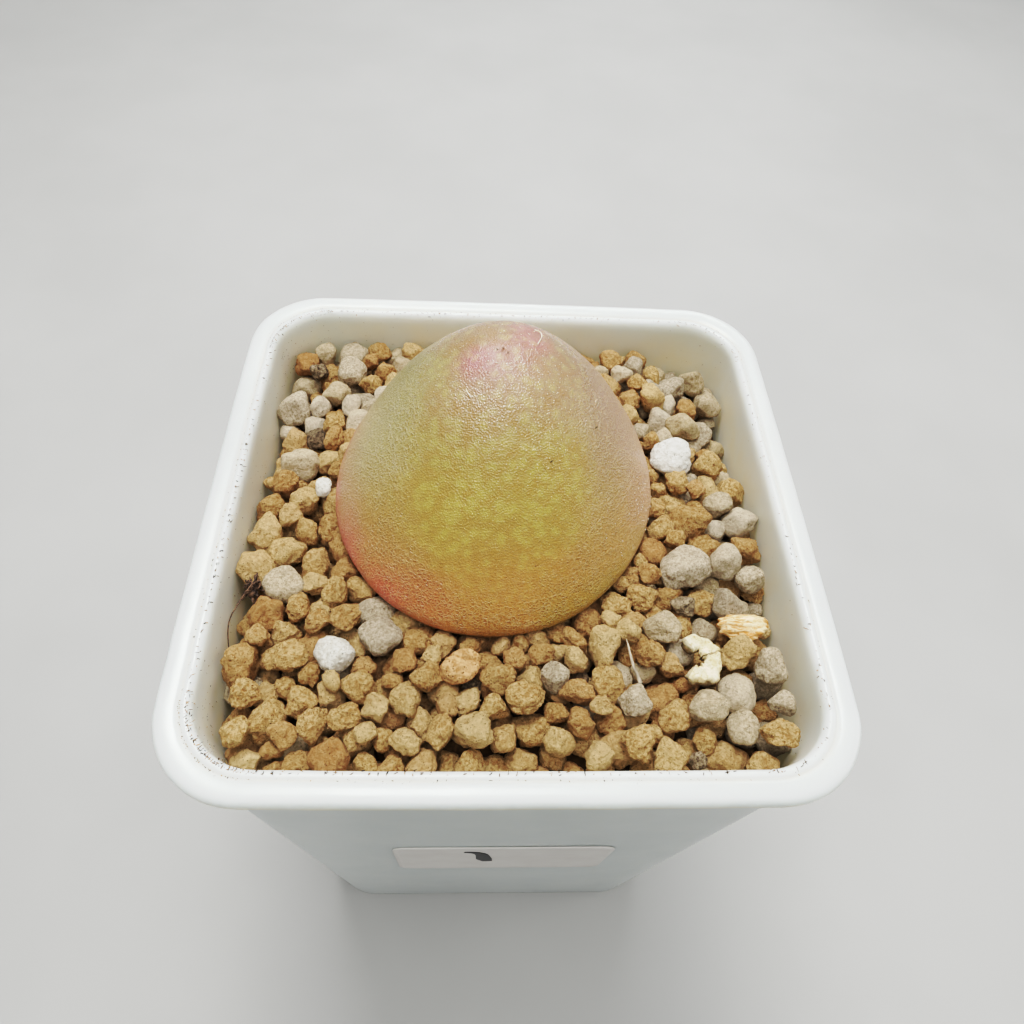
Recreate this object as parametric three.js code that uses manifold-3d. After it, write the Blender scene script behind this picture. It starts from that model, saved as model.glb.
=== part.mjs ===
// Potted conophytum: a square nursery pot, a label, a bed of clay and pumice grains,
// the plant, and the loose pieces that lie on the bed.
// Units are millimetres. +Z is up, the label faces -Y, and the origin is the middle of the pot's base.

import * as THREE from 'three';
import { mergeVertices } from 'three/addons/utils/BufferGeometryUtils.js';
import Module from 'manifold-3d';

const wasm = await Module();
wasm.setup();

// ---------- driving dimensions ----------

const potHeight = 75;
const rimHalf = 30;
const rimCorner = 8;
const rimBow = 0.24;
const bowStartZ = 20;
const lipHeight = 1.9;
const wallTopHalf = 28.7;
const baseHalf = 25.3;
const innerTopHalf = 27.0;
const innerBaseHalf = 24.0;
const innerTopZ = 73.5;
const floorThickness = 1.5;
const drainHoleRadius = 2.75;
const drainHoleOffset = 12.5;

const soilLevel = 69.9;
const looseLevel = 70.9;
const pieceGap = 0.35;

const plantCentre = new THREE.Vector2(-1.4, 4.3);
const plantWidestZ = 72.2;
const plantHeight = 18.7;
const plantRadius = 17.7;
const plantTipZ = 54.5;
const plantStretch = 1.05;
const plantTurn = 1.3;

const labelWidth = 25;
const labelHeight = 15.5;
const labelThickness = 0.25;
const labelCentreX = 0.4;
const labelCentreZ = 39.5;
const labelCorner = 1.6;
const labelStandOff = 0.14;

// ---------- small helpers ----------

// A repeatable number from 0 to 1 for a whole-number seed.
function hash(seed) {
  const value = Math.sin(seed * 12.9898 + 4.1414) * 43758.5453;
  return value - Math.floor(value);
}

function mix(from, to, amount) {
  return from + (to - from) * amount;
}

function material(color, roughness) {
  return new THREE.MeshStandardMaterial({ color, roughness, metalness: 0 });
}

function namedMesh(name, geometry, color, roughness) {
  const mesh = new THREE.Mesh(geometry, material(color, roughness));
  mesh.name = name;
  return mesh;
}

// Points around a rounded square whose sides swell outwards by bow at their middles.
function roundedSquare(half, corner, bow = 0) {
  const cornerSteps = 8;
  const sideSteps = 4;
  const points = [];
  const straight = half - corner;
  for (let side = 0; side < 4; side += 1) {
    const turn = (side * Math.PI) / 2;
    const local = [];
    for (let step = 0; step < sideSteps; step += 1) {
      const along = mix(-straight, straight, step / sideSteps);
      const swell = bow * (1 - (along / half) ** 2);
      local.push([half + swell, along]);
    }
    for (let step = 0; step < cornerSteps; step += 1) {
      const angle = (step / cornerSteps) * (Math.PI / 2);
      const swell = bow * (1 - (straight / half) ** 2);
      const x = straight + corner * Math.cos(angle) + swell * Math.cos(angle);
      const y = straight + corner * Math.sin(angle) + swell * Math.sin(angle);
      local.push([x, y]);
    }
    for (const [x, y] of local) {
      points.push([
        x * Math.cos(turn) - y * Math.sin(turn),
        x * Math.sin(turn) + y * Math.cos(turn),
      ]);
    }
  }
  return points;
}

// A closed solid through a list of rings, each a list of [x, y, z], between two end points.
function loft(startPoint, rings, endPoint) {
  const count = rings[0].length;
  const positions = [...startPoint];
  for (const ring of rings) {
    for (const point of ring) {
      positions.push(...point);
    }
  }
  positions.push(...endPoint);
  const last = 1 + rings.length * count;
  const indices = [];
  for (let k = 0; k < count; k += 1) {
    const next = (k + 1) % count;
    indices.push(0, 1 + next, 1 + k);
    for (let row = 0; row + 1 < rings.length; row += 1) {
      const low = 1 + row * count;
      const high = low + count;
      indices.push(low + k, low + next, high + next);
      indices.push(low + k, high + next, high + k);
    }
    const top = 1 + (rings.length - 1) * count;
    indices.push(top + k, top + next, last);
  }
  const geometry = new THREE.BufferGeometry();
  geometry.setAttribute('position', new THREE.Float32BufferAttribute(positions, 3));
  geometry.setIndex(indices);
  geometry.computeVertexNormals();
  return geometry;
}

function toManifold(geometry) {
  const plain = geometry.clone();
  plain.deleteAttribute('normal');
  plain.deleteAttribute('uv');
  const welded = mergeVertices(plain, 1e-5);
  const mesh = new wasm.Mesh({
    numProp: 3,
    vertProperties: new Float32Array(welded.attributes.position.array),
    triVerts: new Uint32Array(welded.index.array),
  });
  return new wasm.Manifold(mesh);
}

function fromManifold(solid) {
  const mesh = solid.getMesh();
  const geometry = new THREE.BufferGeometry();
  geometry.setAttribute('position', new THREE.BufferAttribute(new Float32Array(mesh.vertProperties), 3));
  geometry.setIndex(new THREE.BufferAttribute(new Uint32Array(mesh.triVerts), 1));
  geometry.computeVertexNormals();
  return geometry;
}

// ---------- pot ----------

function innerHalfAt(z) {
  const share = (z - floorThickness) / (innerTopZ - floorThickness);
  return mix(innerBaseHalf, innerTopHalf, share);
}

// How far the middle of each side swells outwards at a height.
function bowAt(z) {
  return rimBow * Math.max(0, (z - bowStartZ) / (potHeight - bowStartZ));
}

function potShell() {
  // Height, half-width and corner radius, from the base up the outside, over the lip and down inside.
  const lipBottomZ = potHeight - lipHeight;
  const profile = [
    [0, baseHalf - 0.5, 6.9],
    [0.5, baseHalf, 7.4],
    [25, mix(baseHalf, wallTopHalf, 0.34), 7.5],
    [50, mix(baseHalf, wallTopHalf, 0.68), 7.6],
    [lipBottomZ, wallTopHalf, 7.7],
    [lipBottomZ, rimHalf - 0.35, rimCorner - 0.1],
    [lipBottomZ + 0.25, rimHalf - 0.12, rimCorner],
    [potHeight - 0.7, rimHalf, rimCorner + 0.05],
    [potHeight - 0.25, rimHalf - 0.15, rimCorner],
    [potHeight, rimHalf - 0.7, rimCorner - 0.3],
    [potHeight - 0.06, rimHalf - 1.5, rimCorner - 0.9],
    [potHeight - 0.35, rimHalf - 2.02, rimCorner - 1.36],
    [potHeight - 0.1, innerTopHalf + 0.35, 6.2],
    [potHeight - 0.35, innerTopHalf + 0.05, 6.0],
    [innerTopZ, innerTopHalf, 5.9],
    [40, innerHalfAt(40), 5.7],
    [floorThickness + 0.6, innerHalfAt(floorThickness + 0.6), 5.5],
    [floorThickness, innerBaseHalf - 0.6, 5.0],
  ];
  const rings = profile.map(([z, half, corner]) => {
    return roundedSquare(half, corner, bowAt(z)).map(([x, y]) => [x, y, z]);
  });
  return loft([0, 0, 0], rings, [0, 0, floorThickness]);
}

function buildPot() {
  let solid = toManifold(potShell());
  const hole = new THREE.CylinderGeometry(drainHoleRadius, drainHoleRadius, floorThickness * 4, 24);
  hole.rotateX(Math.PI / 2);
  for (const x of [-drainHoleOffset, drainHoleOffset]) {
    for (const y of [-drainHoleOffset, drainHoleOffset]) {
      solid = solid.subtract(toManifold(hole).translate([x, y, 0]));
    }
  }
  return namedMesh('pot', fromManifold(solid), 0xe9eae4, 0.32);
}

// ---------- label ----------

function buildLabel() {
  const corner = labelCorner;
  const halfW = labelWidth / 2;
  const halfH = labelHeight / 2;
  const shape = new THREE.Shape();
  shape.moveTo(-halfW + corner, -halfH);
  shape.lineTo(halfW - corner, -halfH);
  shape.absarc(halfW - corner, -halfH + corner, corner, -Math.PI / 2, 0);
  shape.lineTo(halfW, halfH - corner);
  shape.absarc(halfW - corner, halfH - corner, corner, 0, Math.PI / 2);
  shape.lineTo(-halfW + corner, halfH);
  shape.absarc(-halfW + corner, halfH - corner, corner, Math.PI / 2, Math.PI);
  shape.lineTo(-halfW, -halfH + corner);
  shape.absarc(-halfW + corner, -halfH + corner, corner, Math.PI, 1.5 * Math.PI);
  const geometry = new THREE.ExtrudeGeometry(shape, {
    depth: labelThickness,
    bevelEnabled: false,
    curveSegments: 5,
  });
  const label = namedMesh('label', geometry, 0xd9d2cc, 0.55);
  const wallHeight = potHeight - lipHeight;
  const wallLean = Math.atan2(wallTopHalf - baseHalf, wallHeight);
  const wallHalf = mix(baseHalf, wallTopHalf, labelCentreZ / wallHeight);
  const front = wallHalf + bowAt(labelCentreZ) + labelStandOff;
  label.rotation.x = Math.PI / 2 + wallLean;
  label.position.set(labelCentreX, -front, labelCentreZ);
  return label;
}

// ---------- plant ----------

// Radius of the plant at a height. Above the widest line it is close to a paraboloid; below it tucks in
// to a neck and a short root.
const plantLowerProfile = [
  [plantWidestZ, plantRadius],
  [71.3, 17.5],
  [70.4, 16.8],
  [69.6, 15.6],
  [68.6, 13.2],
  [67.2, 10.0],
  [65.0, 7.2],
  [61.0, 5.0],
  [56.0, 2.8],
];

function plantUpperProfile() {
  const rows = [];
  const count = 22;
  for (let step = 1; step < count; step += 1) {
    const angle = (step / count) * (Math.PI / 2);
    const radius = plantRadius * Math.cos(angle) ** (2 / 1.95);
    const rise = plantHeight * Math.sin(angle) ** (2 / 1.03);
    rows.push([plantWidestZ + rise, radius]);
  }
  return rows;
}

// The section is slightly longer from front to back than from side to side.
function plantPoint(radius, angle, z) {
  const along = radius * plantStretch * Math.cos(angle - plantTurn);
  const across = (radius / plantStretch) * Math.sin(angle - plantTurn);
  const x = along * Math.cos(plantTurn) - across * Math.sin(plantTurn);
  const y = along * Math.sin(plantTurn) + across * Math.cos(plantTurn);
  return [plantCentre.x + x, plantCentre.y + y, z];
}

function buildPlant() {
  const around = 56;
  const profile = [...plantLowerProfile].reverse().concat(plantUpperProfile());
  const rings = profile.map(([z, radius]) => {
    const ring = [];
    for (let k = 0; k < around; k += 1) {
      ring.push(plantPoint(radius, (k / around) * Math.PI * 2, z));
    }
    return ring;
  });
  const rootTip = [plantCentre.x, plantCentre.y, plantTipZ];
  const top = [plantCentre.x, plantCentre.y, plantWidestZ + plantHeight - 0.02];
  return namedMesh('conophytum', loft(rootTip, rings, top), 0xb5a05c, 0.5);
}

// ---------- loose pieces on the bed ----------

// Name, x, y, height above looseLevel, then sizes along the piece's own x, y and z, and its turn.
const perlite = [
  ['perlite_front_left', -16.5, -15.6, 0, 3.9, 3.7, 3.2, 0.4],
  ['perlite_right', 18.4, 8.6, 0.2, 4.9, 4.9, 4.0, 0.0],
  ['perlite_left_small', -19.9, 3.8, -0.1, 1.5, 2.6, 1.7, 0.5],
];
const pumice = [
  ['pumice_front_left', -12.4, -13.7, -0.2, 4.4, 4.2, 3.6, 0.3],
  ['pumice_right_large', 18.0, -5.9, 0.2, 6.0, 4.6, 4.2, 0.15],
  ['pumice_right_near', 14.7, -12.4, 0, 3.8, 3.6, 3.2, 0.6],
  ['pumice_right_wall', 24.8, -6.6, -0.4, 3.3, 2.8, 2.6, -0.3],
  ['pumice_right_front', 24.7, -16.5, 0, 3.0, 3.7, 3.2, 0.1],
  ['pumice_right_corner', 24.9, -20.1, 0.1, 2.6, 2.4, 2.4, 0.2],
  ['pumice_front_right', 18.0, -20.3, 0, 3.8, 3.2, 3.0, 0.1],
  ['pumice_front_middle', 11.3, -19.9, -0.1, 3.3, 3.2, 2.9, 0.2],
  ['pumice_back_left', -18.8, 21.4, -0.4, 3.8, 3.8, 3.2, 0.2],
];
const akadama = [
  ['akadama_left_round', -15.9, -11.6, -0.1, 3.6, 3.6, 3.2, 0.1],
  ['akadama_left_long', -20.5, -15.7, 0, 3.9, 3.1, 2.8, 0.5],
  ['akadama_left_wall', -24.1, -19.3, -0.4, 3.2, 3.2, 3.0, 0.3],
  ['akadama_left_corner', -24.2, -22.9, 0, 2.9, 2.9, 3.0, 0.8],
  ['akadama_front_left', -14.9, -21.4, -0.1, 3.7, 2.7, 2.6, 0.5],
  ['akadama_front_stub', -6.4, -22.9, 0, 2.7, 3.5, 2.9, -0.3],
  ['akadama_front_middle', 1.2, -19.6, 0, 4.1, 3.4, 3.1, -0.4],
  ['akadama_right_round', 13.3, -8.9, -0.5, 3.6, 3.1, 3.0, 0.0],
  ['akadama_front_right', 11.2, -24.0, 0, 3.2, 3.4, 3.3, 0.2],
  ['akadama_right_corner', 23.9, -23.1, 0.3, 3.6, 3.0, 3.0, 0.1],
];
const lava = [
  ['lava_right', 17.2, -9.95, -0.2, 2.7, 2.4, 2.5, 0.4],
  ['lava_front', 16.3, -25.3, -0.3, 1.9, 1.8, 2.0, 0.2],
  ['lava_back_left', -22.7, 21.7, -0.4, 2.4, 2.4, 2.2, 0.9],
];
const creased = [['creased_lump', -4.9, -16.9, 0, 4.0, 3.7, 3.5, 0.2]];
const bark = [['bark_chip', 22.9, -12.5, 0.1, 5.0, 2.6, 2.0, -0.15]];
const moss = [['moss_tuft', -25.2, -8.9, -0.1, 2.0, 2.6, 2.4, 0.1]];
const husk = ['curled_husk', 18.0, -15.9, 0.2, 4.3, 4.6, 1.7, 0.0];
const fibre = ['straw_fibre', 11.2, -16.2, 0.5, 0.5, 3.6, 0.5, 0.16];

// A lumpy closed grain: a sphere whose corners are pushed in and out by smooth waves.
function lumpGeometry(sizes, seed, roughness) {
  const sphere = new THREE.IcosahedronGeometry(1, 2);
  sphere.deleteAttribute('normal');
  sphere.deleteAttribute('uv');
  const geometry = mergeVertices(sphere, 1e-4);
  const position = geometry.attributes.position;
  const point = new THREE.Vector3();
  for (let k = 0; k < position.count; k += 1) {
    point.fromBufferAttribute(position, k);
    let push = 0;
    for (let wave = 0; wave < 4; wave += 1) {
      const base = seed * 17 + wave * 5;
      const phase = hash(base) * 6.28;
      const dot = point.x * (hash(base + 1) * 6 - 3)
        + point.y * (hash(base + 2) * 6 - 3)
        + point.z * (hash(base + 3) * 6 - 3);
      push += Math.sin(dot + phase) / 4;
    }
    point.multiplyScalar(1 - roughness * (0.5 + 0.5 * push));
    position.setXYZ(k, point.x * sizes[0] / 2, point.y * sizes[1] / 2, point.z * sizes[2] / 2);
  }
  geometry.computeVertexNormals();
  return geometry;
}

function buildLump(row, seed, roughness, color, shine) {
  const [name, x, y, lift, sizeX, sizeY, sizeZ, turn] = row;
  const geometry = lumpGeometry([sizeX, sizeY, sizeZ], seed, roughness);
  const mesh = namedMesh(name, geometry, color, shine);
  mesh.position.set(x, y, looseLevel + lift);
  mesh.rotation.z = turn;
  return mesh;
}

// The husk is a strip curled into a letter C that opens to the left.
function buildHusk() {
  const [name, x, y, lift, sizeX, sizeY, sizeZ, turn] = husk;
  const stripWidth = 1.3;
  const open = 2.3;
  const shift = 0.3;
  const outer = sizeY / 2;
  const inner = outer - stripWidth;
  const shape = new THREE.Shape();
  shape.absarc(0, 0, outer, -open, open, false);
  shape.absarc(0, 0, inner, open, -open, true);
  shape.closePath();
  const geometry = new THREE.ExtrudeGeometry(shape, {
    depth: sizeZ,
    bevelEnabled: false,
    curveSegments: 20,
  });
  const mesh = namedMesh(name, geometry, 0xd8c79a, 0.8);
  mesh.position.set(x - shift, y, looseLevel + lift - sizeZ / 2);
  mesh.scale.x = sizeX / sizeY;
  mesh.rotation.z = turn;
  return mesh;
}

// A thin bent straw with a six-sided section.
function buildFibre() {
  const [name, x, y, lift, thickness, length, , turn] = fibre;
  const section = new THREE.Shape();
  for (let k = 0; k < 6; k += 1) {
    const angle = (k / 6) * Math.PI * 2;
    const u = (thickness / 2) * Math.cos(angle);
    const v = (thickness / 2) * Math.sin(angle);
    if (k === 0) {
      section.moveTo(u, v);
    } else {
      section.lineTo(u, v);
    }
  }
  section.closePath();
  const path = new THREE.CatmullRomCurve3([
    new THREE.Vector3(0, length / 2, 0.3),
    new THREE.Vector3(-0.25, 0, 0.1),
    new THREE.Vector3(0, -length / 2, 0),
  ]);
  const geometry = new THREE.ExtrudeGeometry(section, {
    steps: 8,
    bevelEnabled: false,
    extrudePath: path,
  });
  const mesh = namedMesh(name, geometry, 0x9d917f, 0.8);
  mesh.position.set(x, y, looseLevel + lift);
  mesh.rotation.z = turn;
  return mesh;
}

// ---------- soil bed ----------

// Pieces that the bed has to keep clear of, as [x, y, half x, half y, centre z, half z, turn].
function restingPieces() {
  const rows = [...perlite, ...pumice, ...akadama, ...lava, ...creased, ...bark, ...moss, husk, fibre];
  return rows.map(([, x, y, lift, sizeX, sizeY, sizeZ, turn]) => {
    return [x, y, sizeX / 2, sizeY / 2, looseLevel + lift, sizeZ / 2, turn];
  });
}

// Height of the grain tops: rounded caps on a jittered grid.
function grainTop(x, y) {
  const pitch = 2.5;
  const column = Math.floor(x / pitch);
  const row = Math.floor(y / pitch);
  let best = soilLevel - 1.3;
  for (let i = column - 1; i <= column + 1; i += 1) {
    for (let j = row - 1; j <= row + 1; j += 1) {
      const seed = i * 71 + j * 131 + 900;
      const centreX = (i + 0.5 + 0.5 * (hash(seed) - 0.5)) * pitch;
      const centreY = (j + 0.5 + 0.5 * (hash(seed + 1) - 0.5)) * pitch;
      const radius = pitch * (0.5 + 0.22 * hash(seed + 2));
      const distance = Math.hypot(x - centreX, y - centreY);
      if (distance < radius) {
        const lift = 0.7 * (hash(seed + 3) - 0.5);
        best = Math.max(best, soilLevel - radius + lift + Math.sqrt(radius ** 2 - distance ** 2));
      }
    }
  }
  return best;
}

// Highest the bed may stand at a place, given the plant above it. The plant counts as a little wider
// than it is, so that the bed's surface stays clear of its sides.
function plantClearance(x, y) {
  const sideMargin = 1.2;
  const dx = x - plantCentre.x;
  const dy = y - plantCentre.y;
  const along = (dx * Math.cos(plantTurn) + dy * Math.sin(plantTurn)) / plantStretch;
  const across = (-dx * Math.sin(plantTurn) + dy * Math.cos(plantTurn)) * plantStretch;
  const radius = Math.hypot(along, across) - sideMargin;
  if (radius > plantRadius) {
    return Infinity;
  }
  const profile = plantLowerProfile;
  for (let k = 0; k + 1 < profile.length; k += 1) {
    const [highZ, highRadius] = profile[k];
    const [lowZ, lowRadius] = profile[k + 1];
    if (radius <= highRadius && radius > lowRadius) {
      return mix(lowZ, highZ, (radius - lowRadius) / (highRadius - lowRadius)) - pieceGap;
    }
  }
  return plantTipZ - pieceGap - 1;
}

// Highest the bed may stand at a place, given one loose piece resting there.
function pieceClearance(x, y, piece) {
  const sideMargin = 1.0;
  const extraDrop = 0.25;
  const [centreX, centreY, halfX, halfY, centreZ, halfZ, turn] = piece;
  const dx = x - centreX;
  const dy = y - centreY;
  const u = (dx * Math.cos(turn) + dy * Math.sin(turn)) / (halfX + sideMargin);
  const v = (-dx * Math.sin(turn) + dy * Math.cos(turn)) / (halfY + sideMargin);
  const distance = Math.hypot(u, v);
  if (distance >= 1) {
    return Infinity;
  }
  return centreZ - halfZ * Math.sqrt(1 - (distance * 0.9) ** 2) - pieceGap - extraDrop;
}

function bedHeight(x, y, pieces) {
  let height = Math.min(grainTop(x, y), plantClearance(x, y));
  for (const piece of pieces) {
    height = Math.min(height, pieceClearance(x, y, piece));
  }
  return height;
}

// A square block with the bed's surface on top, later trimmed to the inside of the pot.
function bedBlock() {
  const half = 29;
  const steps = 50;
  const pieces = restingPieces();
  const bottom = -1;
  const positions = [];
  const indices = [];
  const width = steps + 1;
  for (let layer = 0; layer < 2; layer += 1) {
    for (let j = 0; j <= steps; j += 1) {
      for (let i = 0; i <= steps; i += 1) {
        const x = mix(-half, half, i / steps);
        const y = mix(-half, half, j / steps);
        positions.push(x, y, layer === 0 ? bottom : bedHeight(x, y, pieces));
      }
    }
  }
  const top = width * width;
  for (let j = 0; j < steps; j += 1) {
    for (let i = 0; i < steps; i += 1) {
      const a = j * width + i;
      const b = a + 1;
      const c = a + width;
      const d = c + 1;
      indices.push(a, c, d, a, d, b);
      indices.push(top + a, top + b, top + d, top + a, top + d, top + c);
    }
  }
  for (let k = 0; k < steps; k += 1) {
    const sides = [
      [k, k + 1],
      [k * width + steps, (k + 1) * width + steps],
      [steps * width + k + 1, steps * width + k],
      [(k + 1) * width, k * width],
    ];
    for (const [a, b] of sides) {
      indices.push(a, b, top + b, a, top + b, top + a);
    }
  }
  const geometry = new THREE.BufferGeometry();
  geometry.setAttribute('position', new THREE.Float32BufferAttribute(positions, 3));
  geometry.setIndex(indices);
  return geometry;
}

function buildSoilBed() {
  const lowZ = floorThickness + 0.35;
  const heights = [lowZ, 20, 45, potHeight];
  const rings = heights.map((z) => {
    const half = innerHalfAt(z) - pieceGap;
    return roundedSquare(half, 5.6).map(([x, y]) => [x, y, z]);
  });
  const inside = loft([0, 0, lowZ], rings, [0, 0, potHeight]);
  const solid = toManifold(bedBlock()).intersect(toManifold(inside));
  return namedMesh('soil_bed', fromManifold(solid), 0xbf9a63, 0.95);
}

// ---------- assembly ----------

function buildAll() {
  const object = new THREE.Group();
  object.name = 'potted_conophytum';
  object.add(buildPot(), buildLabel(), buildSoilBed(), buildPlant());
  const families = [
    [perlite, 0.08, 0xe3ded3, 0.9],
    [pumice, 0.1, 0xb8aa93, 0.92],
    [akadama, 0.16, 0xc69a58, 0.95],
    [lava, 0.16, 0x574a42, 0.95],
    [creased, 0.14, 0xb98252, 0.9],
    [bark, 0.12, 0xd6a877, 0.8],
    [moss, 0.3, 0x4a3a30, 1.0],
  ];
  let seed = 1;
  for (const [rows, roughness, color, shine] of families) {
    for (const row of rows) {
      object.add(buildLump(row, seed, roughness, color, shine));
      seed += 1;
    }
  }
  object.add(buildHusk(), buildFibre());
  return object;
}

export default buildAll();
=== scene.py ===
"""Looks of the potted conophytum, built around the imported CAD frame.

Shapes are worked out in millimetres and stored in metres. The frame is the CAD's own: +Z up, origin in
the middle of the pot's base, label towards -Y.
"""

import math

import bmesh
import bpy
import numpy as np
from mathutils import Matrix, Quaternion, Vector


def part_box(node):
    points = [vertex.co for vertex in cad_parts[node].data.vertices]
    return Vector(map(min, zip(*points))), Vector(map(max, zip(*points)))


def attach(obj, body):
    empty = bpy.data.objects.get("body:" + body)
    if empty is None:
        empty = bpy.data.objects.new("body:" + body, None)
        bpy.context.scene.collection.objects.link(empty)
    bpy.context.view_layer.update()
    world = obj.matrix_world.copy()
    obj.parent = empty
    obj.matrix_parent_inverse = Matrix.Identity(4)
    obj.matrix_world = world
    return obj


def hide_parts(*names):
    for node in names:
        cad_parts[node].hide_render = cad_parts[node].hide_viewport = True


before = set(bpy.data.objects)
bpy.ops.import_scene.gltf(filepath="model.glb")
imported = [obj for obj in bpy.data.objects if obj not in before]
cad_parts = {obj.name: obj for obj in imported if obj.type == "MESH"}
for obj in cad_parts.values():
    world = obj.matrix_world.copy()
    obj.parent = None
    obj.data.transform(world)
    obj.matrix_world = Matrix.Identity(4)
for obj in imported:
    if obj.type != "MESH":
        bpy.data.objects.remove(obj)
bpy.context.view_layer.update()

MM = 0.001


def node_box(node):
    """Centre and size of a CAD node, in millimetres."""
    low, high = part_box(node)
    low, high = np.array(low) / MM, np.array(high) / MM
    return (low + high) / 2, high - low


POT_SIZE = node_box("pot")[1]
LABEL_CENTRE, LABEL_SIZE = node_box("label")
PLANT_CENTRE, PLANT_SIZE = node_box("conophytum")

POT_HEIGHT = POT_SIZE[2]
RIM_BOW = 0.24
RIM_HALF = POT_SIZE[0] / 2 - RIM_BOW
WALL_TOP_HALF = RIM_HALF - 1.3
BASE_HALF = RIM_HALF - 4.7
INNER_TOP_HALF = RIM_HALF - 3.0
INNER_BASE_HALF = RIM_HALF - 6.0
FLOOR_THICKNESS = 1.5
LIP_DEPTH = 1.9
INNER_TOP_Z = POT_HEIGHT - 1.5
DRAIN_RADIUS = 2.75
DRAIN_OFFSET = 12.5
LABEL_CORNER = 1.6

PLANT_AXIS = PLANT_CENTRE[:2]
PLANT_TOP = PLANT_CENTRE[2] + PLANT_SIZE[2] / 2
PLANT_HEIGHT = 18.7
PLANT_WIDEST_Z = PLANT_TOP - PLANT_HEIGHT
PLANT_RADIUS = 17.7
PLANT_STRETCH = 1.05
PLANT_TURN = 1.3
RADIUS_POWER = 2 / 1.95
RISE_POWER = 2 / 1.03

GRIT_FLOOR = 65.6
GRIT_COUNT = 620
BED_GAP = 0.4
BED_CORNER = 5.4
GRAIN_SHAPES = 18
GRAIN_OVERSIZE = 1.04
# Steps along each edge of the starting solid for far grains, near grains and single lumps.
FAR, NEAR, LUMP = 4, 8, 15


# ---------- numbers: repeatable noise ----------

def lattice(cell, seed):
    """A fixed number from -1 to 1 for each whole-number cell."""
    mixed = cell[:, 0] * 374761393 + cell[:, 1] * 668265263 + cell[:, 2] * 1274126177 + seed * 974634777
    mixed &= 0xFFFFFFFF
    mixed = ((mixed ^ (mixed >> 13)) * 1103515245) & 0xFFFFFFFF
    mixed = ((mixed ^ (mixed >> 16)) * 668265263) & 0xFFFFFFFF
    return ((mixed >> 8) & 0xFFFF) / 32767.5 - 1.0


def value_noise(points, seed):
    """Smooth noise from -1 to 1 with features about one unit across."""
    base = np.floor(points).astype(np.int64)
    part = points - base
    ease = part * part * (3 - 2 * part)
    total = np.zeros(len(points))
    for corner in range(8):
        step = np.array([corner & 1, (corner >> 1) & 1, corner >> 2])
        weight = np.prod(np.where(step, ease, 1 - ease), axis=1)
        total += weight * lattice(base + step, seed)
    return total


def fractal(points, size, octaves, seed):
    """Noise of several sizes added up; size is the largest feature."""
    total = np.zeros(len(points))
    strength = 1.0
    for octave in range(octaves):
        total += strength * value_noise(points * (2.03 ** octave / size), seed + octave * 17)
        strength *= 0.52
    return total


def smooth_step(value, low, high):
    share = np.clip((value - low) / (high - low), 0, 1)
    return share * share * (3 - 2 * share)


def linear(red, green, blue):
    """An 8-bit display colour as linear numbers."""
    shares = np.array([red, green, blue]) / 255
    return np.where(shares <= 0.04045, shares / 12.92, ((shares + 0.055) / 1.055) ** 2.4)


# ---------- meshes ----------

def make_piece(name, points, faces, material, slot_name, replaced=(), tints=None):
    """A smooth triangle or quad mesh, given in millimetres, that rides on the part."""
    faces = np.asarray(faces)
    mesh = bpy.data.meshes.new(name)
    mesh.vertices.add(len(points))
    mesh.vertices.foreach_set("co", (np.asarray(points) * MM).ravel())
    mesh.loops.add(faces.size)
    mesh.loops.foreach_set("vertex_index", faces.ravel())
    mesh.polygons.add(len(faces))
    mesh.polygons.foreach_set("loop_start", np.arange(len(faces)) * faces.shape[1])
    mesh.polygons.foreach_set("use_smooth", np.ones(len(faces), dtype=bool))
    mesh.update(calc_edges=True)
    mesh.validate()
    if tints is not None:
        layer = mesh.color_attributes.new("tint", "FLOAT_COLOR", "POINT")
        four = np.ones((len(points), 4))
        four[:, : tints.shape[1]] = tints
        layer.data.foreach_set("color", four.ravel())
    piece = bpy.data.objects.new(name, mesh)
    bpy.context.scene.collection.objects.link(piece)
    mesh.materials.append(material)
    if replaced:
        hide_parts(*replaced)
    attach(piece, "root")
    return piece


def turns(count):
    """Evenly spaced angles once around."""
    return np.arange(count) / count * 2 * math.pi


def rotated(x, y, angle):
    """Flat places turned about the origin."""
    c, s = math.cos(angle), math.sin(angle)
    return x * c - y * s, x * s + y * c


def at_height(outline, z):
    """A flat outline as a ring at one height."""
    return np.column_stack([outline, np.full(len(outline), z)])


def path_lengths(line):
    """Distance along a line to each of its points."""
    return np.concatenate([[0], np.cumsum(np.linalg.norm(np.diff(line, axis=0), axis=1))])


def spaced(line, places):
    """Points of a line at the given distances along it."""
    lengths = path_lengths(line)
    return np.column_stack([np.interp(places, lengths, column) for column in line.T])


def fitted(shape, centre, size):
    """A shape moved and stretched to fill a box."""
    low, high = shape.min(0), shape.max(0)
    return (shape - (low + high) / 2) / (high - low) * size + centre


def loft(start, rings, end):
    """Points and triangles of a closed skin through rings of equal count, between two end points."""
    rows, count, _ = rings.shape
    points = np.concatenate([[start], rings.reshape(-1, 3), [end]])
    k = np.arange(count)
    following = (k + 1) % count
    faces = [np.stack([np.zeros(count, int), 1 + following, 1 + k], 1)]
    for row in range(rows - 1):
        low = 1 + row * count
        high = low + count
        faces.append(np.stack([low + k, low + following, high + following], 1))
        faces.append(np.stack([low + k, high + following, high + k], 1))
    top = 1 + (rows - 1) * count
    last = np.full(count, len(points) - 1)
    faces.append(np.stack([top + k, top + following, last], 1))
    return points, np.concatenate(faces)


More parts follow.
